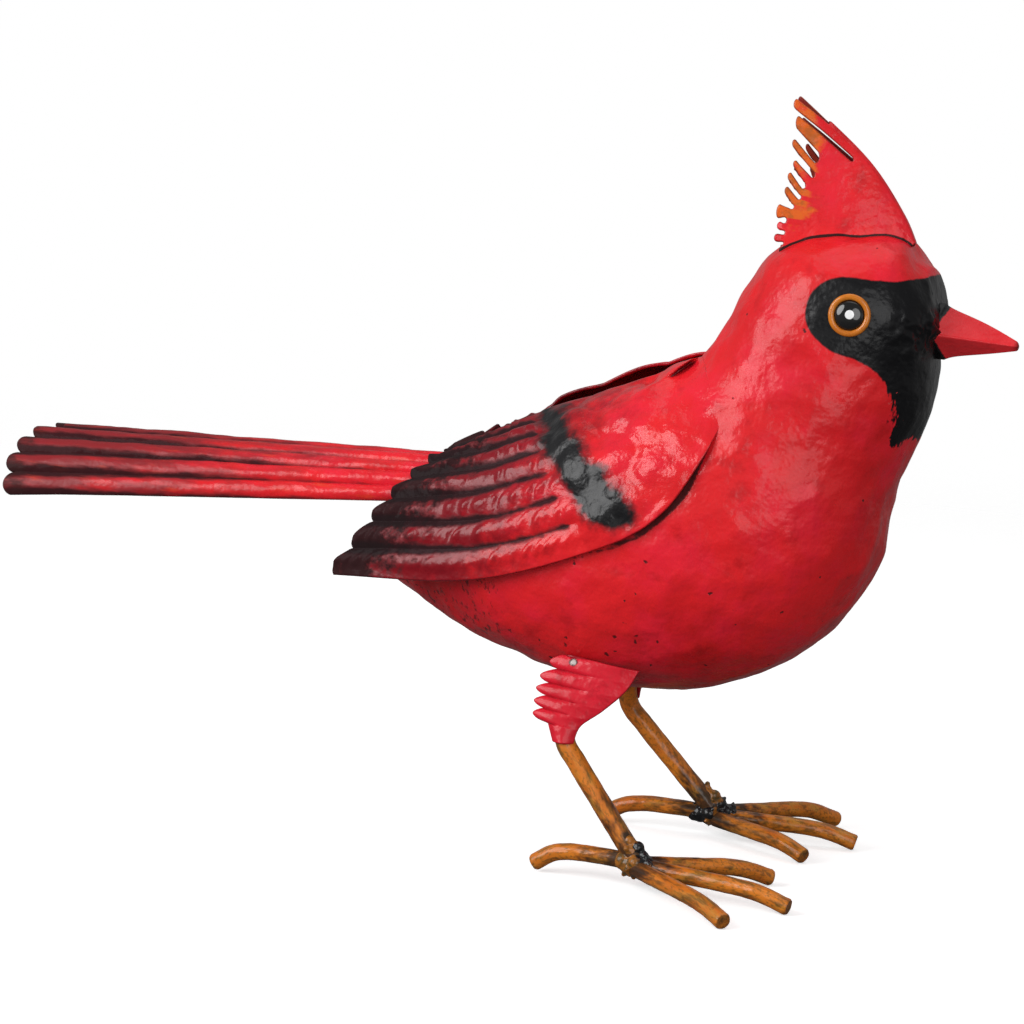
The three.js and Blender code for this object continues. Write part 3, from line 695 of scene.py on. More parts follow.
def halfWidthAt(x, z):
    # How far the body skin reaches from the middle plane at a side-view point, 0 outside its outline
    hit = bodyShape.ray_cast(Vector((x * mm, -0.2, z * mm)), Vector((0, 1, 0)))[0]
    return -hit.y / mm if hit is not None and hit.y < 0 else 0


# Beak: a folded cone with four faces

beak = {
    "root": {"top": [138, 181.8], "side": [136, 173.6], "bottom": [139, 166.4], "half": 9.8},
    "tip": {"x": 161.3, "top": 172.9, "bottom": 170.4, "half": 1.1},
    "bow": {"top": 0.9, "bottom": 0.27}, "sunk": {"share": 0.2, "depth": 4.5, "rings": 12},
    "nib": 0.035, "rings": 110, "perFace": 26,
    "corner": [1, 2, 3, 2, 1], "flare": {"height": 1.1, "length": 2.4}, "black": [0.2, 3.6],
}


def makeBeak():
    root, tip, sunk, perFace = beak["root"], beak["tip"], beak["sunk"], beak["perFace"]
    t = np.concatenate([np.linspace(-sunk["share"], 0, sunk["rings"])[:-1], crowd(beak["rings"], 0.6)])
    ahead = np.maximum(t, 0)
    bow = np.sin(pi * ahead)
    back = np.where(t < 0, -t / sunk["share"] * sunk["depth"], 0)
    half = lerp(root["half"], tip["half"], ahead)

    def corner(place, endZ, lift, out):
        x = lerp(place[0], tip["x"], ahead) - back
        return np.stack([x, out, lerp(place[1], endZ, ahead) + lift], -1)

    length = tip["x"] - root["top"][0]
    flare = beak["flare"]["height"] * np.exp(-ahead * length / beak["flare"]["length"])
    near, far = (corner(root["side"], (tip["top"] + tip["bottom"]) / 2, 0, sign * half) for sign in (-1, 1))
    top = corner(root["top"], tip["top"], beak["bow"]["top"] * bow + flare, 0 * t)
    bottom = corner(root["bottom"], tip["bottom"], -beak["bow"]["bottom"] * bow - flare, 0 * t)
    corners = [top, near, bottom, far]
    share = (np.arange(perFace) / perFace)[None, :, None]
    ring = np.concatenate([lerp(a[:, None], b[:, None], share)
                           for a, b in zip(corners, corners[1:] + corners[:1])], axis=1)
    weights = np.array(beak["corner"]) / sum(beak["corner"])
    ring = sum(weight * np.roll(ring, k - len(weights) // 2, axis=1) for k, weight in enumerate(weights))
    late = np.clip((t - 1 + beak["nib"]) / beak["nib"], 0, 0.995)
    middle = ring.mean(axis=1, keepdims=True)
    ring = middle + (ring - middle) * np.sqrt(1 - late ** 2)[:, None, None]
    points = np.vstack([ring.reshape(-1, 3), ring[0].mean(0), ring[-1].mean(0)])
    # Black comes up the beak less along the crease than along its top and bottom
    crease = np.abs(np.arange(4 * perFace) / perFace % 2 - 1)
    crease = np.append(np.tile(crease, len(t)), [1, 1])
    blackTo = root["side"][0] + beak["black"][0] + beak["black"][1] * crease
    values = {"tipGap": tip["x"] - points[:, 0], "rootGap": points[:, 0] - blackTo}
    return makePiece("beakCone", points, ringFaces(len(t), 4 * perFace), values, beakEnamel)


beakEnamel = enamel("beakEnamel", redLook, [
    rim("tipGap", 1, (0.25, 0.01, 0.01), 1.2, 0.8, 500),
    rim("rootGap", 0, (0.004, 0.004, 0.005), 0.25, 0.5, 400),
], light=(0.9, 0.03, 0.04), deep=(0.78, 0.018, 0.026), patch=60.0, roughness=0.36, coat=0.2, specular=0.2)
keep(makeBeak(), "red_enamel", "beak")


# Crest: one folded sheet, its back edge cut into fingers

crest = {
    "ridge": [[128, 197.5], [122.6, 207.9], [112, 221.6], [98.5, 233.2], [87, 241.4]],
    "seat": [[127, 197], [118.5, 199], [108, 199], [97, 195.2], [86.5, 193.5]],
    "spread": {"half": 9.0, "reachedAt": 0.8, "ease": 0.8}, "fold": 0.9, "foldWidth": 0.02, "splay": 0.45,
    "ridgeSlit": 0.77, "start": 0.05, "overrun": 42, "lift": {"rise": 0.075, "endsAt": 0.77},
    # Middle, half width, tip, root of the slit below, ochre
    "fingers": [
        [0.046, 0.031, 1.012, 0.60, 0.6], [0.152, 0.044, 0.98, 0.79, 1.0], [0.3, 0.029, 0.985, 0.80, 1.0],
        [0.402, 0.027, 0.955, 0.85, 0.55], [0.508, 0.028, 0.985, 0.87, 0.95], [0.604, 0.028, 0.99, 0.91, 1.0],
        [0.722, 0.044, 1.03, 0.95, 0.75], [0.829, 0.025, 1.015, 0.95, 0.3], [0.902, 0.025, 1.02, 0.95, 0.05],
        [0.967, 0.024, 0.975, 0.935, 0.0],
    ],
    "farShort": 0.045, "perFinger": 14, "perGap": 9, "rootRows": 70, "fingerRows": 34, "rounding": 0.022,
    "curl": 0.5, "slitRound": {"share": 0.75, "most": 0.03}, "smear": {"u": [0.8, 0.1], "v": [0.67, 0.09]},
}


def crestPlace(u, v, out, side):
    across = np.abs(v)
    low, top = curveAt(crest["seat"], u), curveAt(crest["ridge"], u)
    bulge = np.sin(pi * np.minimum(across / crest["lift"]["endsAt"], 1))
    w = across + crest["lift"]["rise"] * (1 - out) * bulge
    spread = crest["spread"]
    back = np.sin(pi / 2 * np.minimum(u / spread["reachedAt"], 1))
    wide = spread["half"] * back * w ** spread["ease"]
    splay = crest["splay"] * smoothStep(crest["ridgeSlit"], 1, u)
    fold = (crest["fold"] + splay) * np.minimum(across / crest["foldWidth"], 1)
    x, z = np.moveaxis(lerp(top, low, w[..., None]), -1, 0)
    return np.stack([x - np.maximum(u - 1, 0) * crest["overrun"], side * (fold + wide), z], -1)


def crestColumns():
    # From the ridge down: a gap with a rounded root, a finger, a gap, and so on
    fingers, columns = crest["fingers"], []
    borders = [0.0] + [middle + half for middle, half, *_ in fingers]
    roots = [crest["ridgeSlit"]] + [finger[3] for finger in fingers]
    slitRound = crest["slitRound"]
    rounds = [min((finger[0] - finger[1] - border) / 2, slitRound["most"]) * slitRound["share"]
              for finger, border in zip(fingers, borders)] + [0.0]
    for index, (middle, half, tip, slit, ochre) in enumerate(fingers):
        for q in crowd(crest["perGap"], 0.5)[0 if index == 0 else 1:-1]:
            bend = rounds[index] * (1 - np.sqrt(1 - (2 * q - 1) ** 2))
            columns.append([lerp(borders[index], middle - half, q), roots[index] + bend, -1, 0, index])
        for q in crowd(crest["perFinger"], 0.6):
            root = lerp(roots[index] + rounds[index], slit + rounds[index + 1], smoothStep(0, 1, q))
            cut = crest["rounding"] * (1 - np.sqrt(max(1 - (2 * q - 1) ** 2, 0)))
            columns.append([middle + half * (2 * q - 1), root, tip - cut, ochre, index])
    near = np.array([[*column, -1] for column in columns])
    return np.vstack([near[:0:-1] * [1, 1, 1, 1, 1, -1], near])


def makeCrest():
    v, root, tip, ochre, index, side = (column[None, :] for column in crestColumns().T)
    solid = tip > 0
    # Fingers of the far side are shorter, except the two along the ridge
    tip = tip - crest["farShort"] * solid * (side > 0) * (index > 1)
    early = crowd(crest["rootRows"], 0.7)[:, None]
    late = 1 - (1 - np.linspace(0, 1, crest["fingerRows"] + 1)[1:, None]) ** 1.5
    u = np.vstack([lerp(crest["start"], root, early), lerp(root, np.where(solid, tip, root), late)])
    out = np.vstack([0 * early + 0 * v, late + 0 * v])
    v, side = v + 0 * u, side + 0 * u
    points = crestPlace(u, v, out, side)
    bend = smoothStep(0, 1, out) * solid
    points[..., 1] += side * bend * crest["curl"] * np.sin(index * 2.4 + 0.7)
    points[..., 2] += bend * crest["curl"] * np.sin(index * 4.1 + side)
    (smearU, spreadU), (smearV, spreadV) = crest["smear"]["u"], crest["smear"]["v"]
    smear = np.exp(-((u - smearU) / spreadU) ** 2 - ((v - smearV) / spreadV) ** 2) * 0.8
    isGap = ~solid[0]

    def isOpen(i, j):
        return i >= crest["rootRows"] - 1 and (isGap[j] or isGap[j + 1])

    faces = sheetFaces(len(u), len(isGap), isOpen)
    points = points.reshape(-1, 3)
    # Distance to the head, for a painted shadow along the crest's seat
    seat = [bodyShape.find_nearest(Vector(point * mm))[3] / mm for point in points]
    values = {"ochre": np.maximum(ochre * smoothStep(0.66, 0.92, u) * solid, smear), "seatGap": seat}
    return makeSheet("crestSheet", points, faces, values, crestEnamel)


crestEnamel = enamel("crestEnamel", redLook, mottle + [
    wash("ochre", (0.76, 0.14, 0.012), 0.7, 0.16, 230, gain=0.95, stretch=(0.7, 1, 1), strength=0.9),
    wash("ochre", (0.4, 0.1, 0.012), 0.7, 0.14, 420, gain=0.5, stretch=(0.7, 1, 1), strength=0.7),
    rim("inside", 0.5, (0.2, 0.008, 0.01), 0.4, 0, strength=0.85),
    rim("edgeGap", 0.25, (0.16, 0.016, 0.01), 0.35, 0.25, strength=0.8),
    # Near black within half a millimetre of the head: painted shadow under the crest's lower edge
    rim("seatGap", 0.52, (0.03, 0.003, 0.003), 0.12, 0.3, roughness=0.8),
], patch=40.0)
keep(makeCrest(), "red_enamel", "crest")


# Tail: ribbed arch of feathers, the middle one shortest

tail = {
    "Feathers": 9, "Columns": 9 * 22 + 1, "Rows": 190, "Length": 0.1571, "Root X": -0.006,
    "Root Crown": 0.1212, "Tip Crown": 0.1157, "Root Radius": 0.0178, "Tip Radius": 0.0286,
    "Half Angle": radians(73.6), "Rib Height": 0.0015, "Tip Step": 0.0097, "Step Fall": 1.3,
    "Corner Cut": 0.0014, "Tip Round": 0.0034, "Thickness": 0.001, "Waver": 0.0007, "Tip Flare": 0.27,
    "Seed": 3.0,
}


def tailTree():
    size = shapeTree("ribbedTail", tail)
    tree, feathers, halfAngle = size["Geometry"].tree, size["Feathers"], size["Half Angle"]
    halfThick, middle = size["Thickness"] * 0.5, (feathers - 1.0) * 0.5
    across, row, _ = parted(add(tree, "GeometryNodeInputPosition"))
    cell = (across + 0.5) * feathers
    index = (cell + 0.0001).step("FLOOR").atMost(feathers - 1.0)
    share = cell - index
    share = share - (share * (2 * pi)).step("SINE") * (0.85 / (2 * pi))
    q = share * 2.0 - 1.0
    spine = (index + share) / feathers
    u = 1.0 - (1.0 - (row + 0.5)).atLeast(0.0) ** 1.5

    def lengthOf(feather, edge):
        apart = (feather - middle).step("ABSOLUTE")
        step = size["Tip Step"] * (apart * size["Step Fall"] * -1.0).step("EXPONENT")
        step = step + (apart - middle + 1.0).atLeast(0.0).atMost(1.0) * size["Corner Cut"]
        return size["Length"] - step - size["Tip Round"] * (1.0 - (1.0 - edge * edge * 0.96).step("SQRT"))

    length = lengthOf(index, q)
    beside = lengthOf(index + q.step("SIGN"), q.step("SIGN"))
    travel = length * u ** 0.85
    along = travel / size["Length"]
    arch = lerp(size["Root Radius"], size["Tip Radius"], along)
    valley = q.step("ABSOLUTE")
    spread = (along - 0.72).atLeast(0.0)
    turn = halfAngle * (spine * 2.0 - 1.0) * (spread * spread * size["Tip Flare"] + 1.0)
    grain = combined(along * 7.0, spine * feathers * 0.8, size["Seed"])
    waver = (noiseAt(grain, 1.4) - 0.5) * size["Waver"] * 2.0
    radius = arch - size["Rib Height"] * valley ** 2.4 + waver
    groove = (1.0 - valley) * (halfAngle * arch / feathers)
    notch = groove.atLeast(beside - travel)
    side = spine.atMost(1.0 - spine) * halfAngle * arch * 2.0
    gap = (length - travel).atMost(travel).atMost(side).atMost(notch)
    bend = 1.0 - (gap / halfThick).atMost(1.0).atLeast(0.0)
    half = halfThick * (1.0 - bend * bend).atLeast(0.0).step("SQRT")
    crown = lerp(size["Root Crown"], size["Tip Crown"], along) - halfThick
    tipGap = (length - travel) / mm
    outer = ((index - middle).step("ABSOLUTE") - 2.0).atLeast(0.0)
    # How far dark paint spreads in the grooves, and worn paint from the tip, less on the outer feathers
    values = {"groove": 2.1 - groove / mm - tipGap * 0.022, "tipGap": tipGap,
              "worn": 66.0 - tipGap * 0.75 - outer * 13.0}
    skins = []
    for sign in (1.0, -1.0):
        grid = add(tree, "GeometryNodeMeshGrid", {"Size X": 1.0, "Size Y": 1.0, "Vertices X": size["Columns"],
                                                  "Vertices Y": size["Rows"]})
        reach = radius + half * sign
        spot = combined(size["Root X"] - travel, reach * turn.step("SINE"),
                        crown - arch + reach * turn.step("COSINE"))
        skins.append(moved(stored(grid, values), Position=spot))
    skins[1] = add(tree, "GeometryNodeFlipFaces", {0: skins[1]})
    welded = add(tree, "GeometryNodeMergeByDistance", {"Geometry": joined(*skins), "Distance": 0.000008})
    return ended(welded, size["Material"])


tailEnamel = enamel("tailEnamel", redLook, mottle + [
    edge("worn", (0.17, 0.008, 0.012), 34, 64, 220, stretch=(0.25, 1, 1), roughness=0.5, strength=0.85),
    wash(0.3, (0.7, 0.05, 0.012), 0.7, 0.1, 300, stretch=(0.2, 1, 1), strength=0.55),
    edge("groove", (0.02, 0.002, 0.004), 0.9, 1.8, 330, offset=0.3, stretch=(0.2, 1, 1), roughness=0.85,
         strength=0.94),
    rim("tipGap", 3, (0.03, 0.006, 0.006), 6, 18, 280, stretch=(0.35, 1, 1), roughness=0.6,
        strength=0.85),
], patch=40.0, roughness=0.26, coat=0.05, specular=0.34)
tailSheet = shaped(makePiece("tailSheet", [[0, 0, 0]]), tailTree(), {**tail, "Material": tailEnamel})
keep(tailSheet, "red_enamel", "tail")


# Wings: pressed sheets that stand off the body, ridged feathers behind the step

wing = {
    # Upper rim and lower edge from the shoulder back: x, y, z
    "rim": [[67, -9, 160.3], [52, -9.5, 152.9], [35, -8.5, 145.3], [15, -7.5, 137.6], [0, -6.5, 130],
            [-14.5, -8, 122.4]],
    "edge": [[80.5, -35.4, 144], [76.2, -39.8, 131], [66, -42.2, 114.5], [48, -42.4, 102.4], [6, -38, 87.1],
             [-46, -30, 81.7]],
    "liftEase": 0.65, "feathers": 7, "ridge": 1.35, "ridgePower": 1.35, "covertEnd": 0.6, "stepBack": 4.1,
    "tip": {"rise": 1.1, "fall": 0.25}, "fan": 1.3, "reach": {"rim": 80, "edge": 260}, "standOff": 0.9,
    "perFeather": 20, "covertRows": 95, "featherRows": 150, "sunk": 0.6, "lip": 0.5, "sway": 0.006,
    "lumps": {"spacing": 1.45, "height": 0.36, "count": 60},
    "relief": {"Dent Size": 0.0105, "Dent Depth": 0.0014, "Wave Size": 0.013, "Wave Depth": 0.0006},
    "sides": {"Right": {"lift": 0, "wave": 0.4, "waves": 5, "seed": 11},
              "Left": {"lift": 3.8, "wave": 1.3, "waves": 4.35, "seed": 23}},
    # Black band on the coverts, side view x, z
    "band": [[17, 139.6], [21.5, 140.4], [25.4, 139.8], [31, 136.2], [36.4, 132.3], [44.7, 126.7],
             [51.9, 121.1], [58.2, 115.9], [58.6, 111.5], [56.1, 108.6], [49.8, 107.1], [43.9, 109.8],
             [35.9, 117.6], [25.7, 126], [19.3, 132.6], [15.6, 137]],
}


def wingMiddle(a, b, side):
    rim, edge = curveAt(wing["rim"], a), curveAt(wing["edge"], a)
    rimZ = rim[..., 2] + side["wave"] * np.abs(np.sin(pi * side["waves"] * a))
    rimZ = rimZ + side["lift"] * np.maximum(np.sin(pi * np.clip(a, 0, 1) ** wing["liftEase"]), 0) ** 2.5
    x = lerp(rim[..., 0], edge[..., 0], b ** wing["fan"])
    y = lerp(rim[..., 1], edge[..., 1], np.sin(pi / 2 * b))
    return np.stack([x, y, lerp(edge[..., 2], rimZ, np.cos(pi / 2 * b))], -1)


def wingGrid(side):
    # Shares a along the wing and b across it, feather by feather, and q from -1 to 1 across a feather
    rng = np.random.default_rng(side["seed"])
    per, count = wing["perFeather"], wing["feathers"]
    share = crowd(per + 1, 0.7)
    index = np.append(np.repeat(np.arange(count), per), count - 1)
    local = np.append(np.tile(share[:-1], count), 1.0)
    q, b = 2 * local - 1, (index + local) / count
    rise = np.sin(pi / 2 * np.minimum((q + 1) / wing["tip"]["rise"], 1))
    cut = wing["stepBack"] * (0.5 + (q + 1) / 2 - rise + wing["tip"]["fall"] * np.maximum(2 * q - 1, 0) ** 2)
    end = 1 - cut / lerp(wing["reach"]["rim"], wing["reach"]["edge"], b)
    early = crowd(wing["covertRows"], 0.75)[:, None] * wing["covertEnd"]
    late = crowd(wing["featherRows"] + 1, 0.6)[1:, None]
    a = np.vstack([early + 0 * b, lerp(wing["covertEnd"], end[None, :], late)])
    # Hand-cut grooves waver a little along the feathers
    phase, pitch = rng.uniform(0, 2 * pi, (2, count + 1)), rng.uniform(9, 15, (2, count + 1))
    line = np.round(b * count).astype(int)
    sway = sum(np.sin(a * pitch[k][line] + phase[k][line]) for k in range(2)) * wing["sway"]
    inside = np.sin(pi * np.clip(b, 0, 1)) ** 0.5
    away = np.cos(pi * (b * count - line)) ** 2
    return a, b + sway * inside * away * smoothStep(0.62, 0.75, a), q + 0 * a, index


def arcLengths(points, axis):
    steps = np.linalg.norm(np.diff(points, axis=axis), axis=-1)
    start = np.zeros_like(np.take(steps, [0], axis=axis))
    return np.concatenate([start, np.cumsum(steps, axis=axis)], axis=axis)


def relieved(points, faces, strength, settings):
    # The same points with the beaten relief on them
    piece = makePiece("relief", points.reshape(-1, 3), faces.tolist(), {"beaten": strength})
    lifted = placesOf(shaped(piece, beaten, settings))
    bpy.data.objects.remove(piece)
    return lifted.reshape(points.shape)


def ridgeLumps(travel, index, seed):
    # Uneven lumps along each ridge
    rng = np.random.default_rng(seed + 5)
    lumps, heights = wing["lumps"], np.zeros_like(travel)
    for feather in range(wing["feathers"]):
        values = rng.normal(0, lumps["height"], lumps["count"])
        chosen = index == feather
        place = travel[:, chosen] / lumps["spacing"] + rng.uniform(0, 3)
        heights[:, chosen] = curveAt(values[:, None], place / (lumps["count"] - 1))[..., 0]
    return heights


def laidDown(points, a, b):
    # The front and upper parts of the sheet rest on the body, the rest stands off it
    joined = smoothStep(0.02 * b, 0.1 + 0.03 * b + 0.2 * np.sin(pi * np.clip(b, 0, 1)) ** 2, a)
    calm = lerp(1, smoothStep(0, 0.4, a), smoothStep(0.25, 0.55, b))
    for i, j in np.ndindex(a.shape):
        x, y, z = points[i, j]
        wide = halfWidthAt(x, z)
        least = wide + wing["standOff"]
        reach = least + max(-y - least, 0) * (calm[i, j] if wide else 1)
        laid = lerp(wide - wing["sunk"], reach, joined[i, j])
        points[i, j, 1] = -lerp(max(-y, least), laid, smoothStep(3, 10, wide)) if wide else -reach


def makeWing(name, side):
    a, b, q, index = wingGrid(side)
    points = wingMiddle(a, b, side)
    step = 0.004
    along = wingMiddle(np.minimum(a + step, 1), b, side) - wingMiddle(np.maximum(a - step, 0), b, side)
    across = wingMiddle(a, np.minimum(b + step, 1), side) - wingMiddle(a, np.maximum(b - step, 0), side)
    out = np.cross(across, along)
    out /= np.linalg.norm(out, axis=-1, keepdims=True)
    out *= np.where(out[..., 1:2] > 0, -1, 1)
    behind = smoothStep(wing["covertEnd"] - 0.012, wing["covertEnd"] + 0.045, a)
    fromTop, fromEnd = arcLengths(points, 1), arcLengths(points[::-1], 0)[::-1]
    ridge = 1 - np.abs(q) ** wing["ridgePower"]
    strip = smoothStep(0.985, 0.9, b)
    beads = ridgeLumps(fromEnd, index, side["seed"]) * ridge ** 2 * smoothStep(0, 0.12, b)
    relief = behind * (wing["ridge"] * (lerp(0.35, ridge, strip) - 1) + beads * strip)
    lower = np.exp(-((b - 0.97) / 0.07) ** 2) * smoothStep(0, 0.06, a) * smoothStep(0.42, 0.16, a)
    points = points + out * (relief + wing["lip"] * lower)[..., None]
    faces = sheetFaces(*a.shape)
    strength = (1 - behind) * smoothStep(0, 0.05, a) + behind * 0.2
    strength = strength * smoothStep(1, 0.94, b) * smoothStep(0, 0.06, b)
    points = relieved(points, faces, strength, {**wing["relief"], "Seed": side["seed"] * 0.37})
    laidDown(points, a, b)
    borders = fromTop[:, ::wing["perFeather"]]
    groove = np.abs(fromTop[:, :, None] - borders[:, None, 1:]).min(axis=2)
    # The lowest border is the wing's own edge, not a groove
    groove = np.where(index[None, :] == wing["feathers"] - 1, fromTop - borders[:, -2:-1], groove)
    points, out = points.reshape(-1, 3), out.reshape(-1, 3)
    # Paint in the grooves is widest at the feather tips, and there is none before the step
    values = {"dark": lerp(3.1, 0.85, smoothStep(4, 58, fromEnd)) - groove - (1 - behind) * 9,
              "tipGap": fromEnd, "band": edgeDistance(points[:, [0, 2]], closedOutline(wing["band"], 200))}
    if sideSigns[name] > 0:
        points, out, faces = points * [1, -1, 1], out * [1, -1, 1], faces[:, ::-1]
    return makeSheet("wing" + name, points, faces, values, wingEnamel, out)


wingEnamel = enamel("wingEnamel", redLook, mottle + [
    rim("tipGap", 60, (0.17, 0.002, 0.008), 26, 34, 200, roughness=0.3, strength=0.9),
    edge("dark", (0.012, 0.002, 0.004), 0.9, 1.6, 330, stretch=(0.5, 1, 1), roughness=0.88, strength=0.95),
    rim("tipGap", 19, (0.01, 0.002, 0.003), 9, 28, 260, roughness=0.9, strength=0.93),
    edge("band", paint["black"], 2.4, 5.5, 130, roughness=0.3),
    # Near black on the inner face away from its border: painted shade in the crevice between the wings and the
    # back
    edge("lining", (0.03, 0.003, 0.004), 0.4, 0.3, offset=-1.2, strength=0.9),
    # Dark cut edges: partly darker edge paint, partly a painted shadow line along the wing's lower edge
    rim("edgeGap", 0.2, (0.09, 0.004, 0.008), 0.35, 0.3, strength=0.6),
], patch=40.0, roughness=0.23, coat=0.05, specular=0.35,
    skin={"Ripple Scale": 300.0, "Ripple Height": 0.6, "Peel Height": 0.08})
for name, side in wing["sides"].items():
    keep(makeWing(name, side), "red_enamel", "wing_" + name.lower())


# Eyes: ochre ring and glossy dome on the head's surface

eye = {"x": 115.3, "z": 178.4, "ring": 6.4, "pupil": 4.4, "gap": 0.1, "root": 2.5, "flat": 0.06,
       "ringRise": [0.35, 1.15], "pupilRise": [0.4, 2.0], "dot": [-0.23, -0.18, 1.35],
       "turns": 96, "steps": 22, "probe": 3.0}


def eyeSeat(sign):
    step, x, z = eye["probe"], eye["x"], eye["z"]
    wide = np.mean([halfWidthAt(x + dx, z + dz) for dx in (-step, 0, step) for dz in (-step, 0, step)])
    slopeX = (halfWidthAt(x + step, z) - halfWidthAt(x - step, z)) / (2 * step)
    slopeZ = (halfWidthAt(x, z + step) - halfWidthAt(x, z - step)) / (2 * step)
    out = np.array([-slopeX, sign, -slopeZ])
    out /= np.linalg.norm(out)
    ahead = np.cross(out, [0, 0, 1.0]) * -sign
    ahead /= np.linalg.norm(ahead)
    return np.array([x, sign * wide, z]), ahead, np.cross(ahead, out) * sign, out


def turned(profile, seat, isClosed):
    # A turned shape: profile rows are radius and height above the seat
    middle, ahead, up, out = seat
    turn = 2 * pi * np.arange(eye["turns"]) / eye["turns"]
    spokes = np.cos(turn)[:, None] * ahead + np.sin(turn)[:, None] * up
    points = np.vstack([middle + radius * spokes + rise * out for radius, rise in profile])
    if isClosed:
        faces = np.array(ringFaces(len(profile) + 1, eye["turns"], False)) % len(points)
        return points, faces.tolist()
    ends = [middle + profile[k][1] * out for k in (0, -1)]
    return np.vstack([points, *ends]), ringFaces(len(profile), eye["turns"])


def makeEye(name, sign):
    seat = eyeSeat(sign)
    middle, ahead, up, out = seat
    root, steps, inner = -eye["root"], np.linspace(0, 1, eye["steps"]), eye["pupil"] + eye["gap"]
    ring = [[lerp(inner, eye["ring"], (1 - cos(pi * t)) / 2), lerp(*eye["ringRise"], sin(pi * t))]
            for t in steps]
    points, faces = turned([[inner, root], *ring, [eye["ring"], root]], seat, True)
    spread = np.linalg.norm(np.cross(points - middle, out), axis=1)
    values = {"rimGap": np.minimum(eye["ring"] - spread, spread - inner)}
    piece = makePiece("eyeRing" + name, points, faces, values, ringEnamel)
    keep(piece, "ochre_enamel", "eye_ring_" + name.lower())
    dome = [[eye["pupil"] * cos(pi / 2 * t), lerp(*eye["pupilRise"], sin(pi / 2 * t))] for t in steps[:-1]]
    points, faces = turned([[eye["pupil"], root], *dome, [eye["flat"], eye["pupilRise"][1]]], seat, False)
    dotX, dotZ, radius = eye["dot"]
    reach = points - middle - dotX * ahead - dotZ * up
    values = {"dot": radius - np.linalg.norm(np.cross(reach, out), axis=1)}
    piece = makePiece("pupil" + name, points, faces, values, pupilEnamel)
    keep(piece, "black_enamel", "pupil_" + name.lower())


ringEnamel = enamel("ringEnamel", {}, [
    rim("rimGap", 0, (0.03, 0.012, 0.004), 0.22, 0.06, 700, strength=0.85),
], light=(0.66, 0.2, 0.012), deep=(0.5, 0.13, 0.01), patch=160.0, roughness=0.25, coat=0.6)
pupilEnamel = enamel("pupilEnamel", {}, [
    edge("dot", (0.95, 0.95, 0.95), 0.08, 0, roughness=0.5),
], light=(0.004, 0.004, 0.005), deep=(0.003, 0.003, 0.003), roughness=0.12, spread=0.01, coat=1.0,
    coatRoughness=0.03, bump=0.05)
for name, sign in sideSigns.items():
    makeEye(name, sign)


# Thigh plates: toothed sheets bowed round the tops of the legs

thigh = {
    "back": [[35.4, 40], [32.6, 47], [32.2, 53], [32.8, 59], [37, 66.5]],
    "front": [[41.6, 40], [43.4, 45.5], [49.6, 50.8], [56, 57.5], [59.5, 64.2]],
    "teeth": {"count": 5, "depth": 4.7, "from": 0.2, "taper": -0.05}, "bow": {"collar": 2.4, "top": 1.6},
    "room": 0.6, "standOff": 0.9, "rows": 170, "columns": 46, "groove": 0.7, "grooveWidth": 0.16,
    "sides": {"Right": {"out": 33.3, "inset": 7.0, "shift": 0, "rise": 0},
              "Left": {"out": 35.6, "inset": 9.3, "shift": -1.8, "rise": 2.4}},
    "legRadius": 3.0, "rivet": {"x": 38.6, "z": 64.3, "long": 1.4, "radius": 0.75},
}


def makeThigh(name, side):
    t, c = crowd(thigh["rows"], 0.4)[:, None], crowd(thigh["columns"], 0.7)[None, :]
    v, teeth, rivet = 2 * c - 1, thigh["teeth"], thigh["rivet"]
    at = np.maximum((t - teeth["from"]) / (1 - teeth["from"]), 0) * teeth["count"]
    tooth = teeth["depth"] * (1 - t * teeth["taper"]) * np.abs(np.sin(pi * at)) ** 0.8
    low, high = curveAt(thigh["back"], t), curveAt(thigh["front"], t)
    x = lerp(low[..., 0] - tooth, high[..., 0], c) + side["shift"]
    z = lerp(low[..., 1], high[..., 1], c) + side["rise"] * (1 - t)
    collar = side["out"] + thigh["legRadius"] + sheetThickness / 2 + thigh["room"]
    bow = lerp(thigh["bow"]["collar"], thigh["bow"]["top"], smoothStep(0, 0.35, t))
    near = np.abs(at - np.round(at)) + 9 * (at <= 0.05)
    cutIn = np.exp(-(near / thigh["grooveWidth"]) ** 2) * smoothStep(0.85, 0, c)
    out = collar - side["inset"] * t - bow * v * v - cutIn * thigh["groove"]
    for i, j in np.ndindex(out.shape):
        out[i, j] = max(out[i, j], halfWidthAt(x[i, j], z[i, j]) + thigh["standOff"])
    points = np.stack([x, sideSigns[name] * out, z], -1).reshape(-1, 3)
    bare = rivet["radius"] - np.hypot((x - rivet["x"]) / rivet["long"], z - rivet["z"])
    values = {"groove": cutIn, "bare": bare}
    return makeSheet("thigh" + name, points, sheetFaces(*out.shape), values, thighEnamel)


thighEnamel = enamel("thighEnamel", redLook, [
    wash(0.36, (0.4, 0.006, 0.014), 0.62, 0.14, 260, strength=0.5),
    wash("groove", (0.3, 0.006, 0.014), 0.5, 0.3, 400, strength=0.65),
    rim("edgeGap", 0.2, (0.2, 0.006, 0.01), 0.4, 0.2, 200, strength=0.75),
    edge("bare", (0.06, 0.01, 0.01), 0.2, 0.5, 600, offset=0.3),
    edge("bare", paint["bare"], 0.2, 0.6, 800, roughness=0.3),
], light=(0.76, 0.014, 0.035), deep=(0.6, 0.009, 0.022), patch=60.0,
    skin={"Ripple Scale": 260.0, "Ripple Height": 0.6})
for name, side in thigh["sides"].items():
    keep(makeThigh(name, side), "red_enamel", "thigh_" + name.lower())


# Legs and toes: bent rods swept along their paths

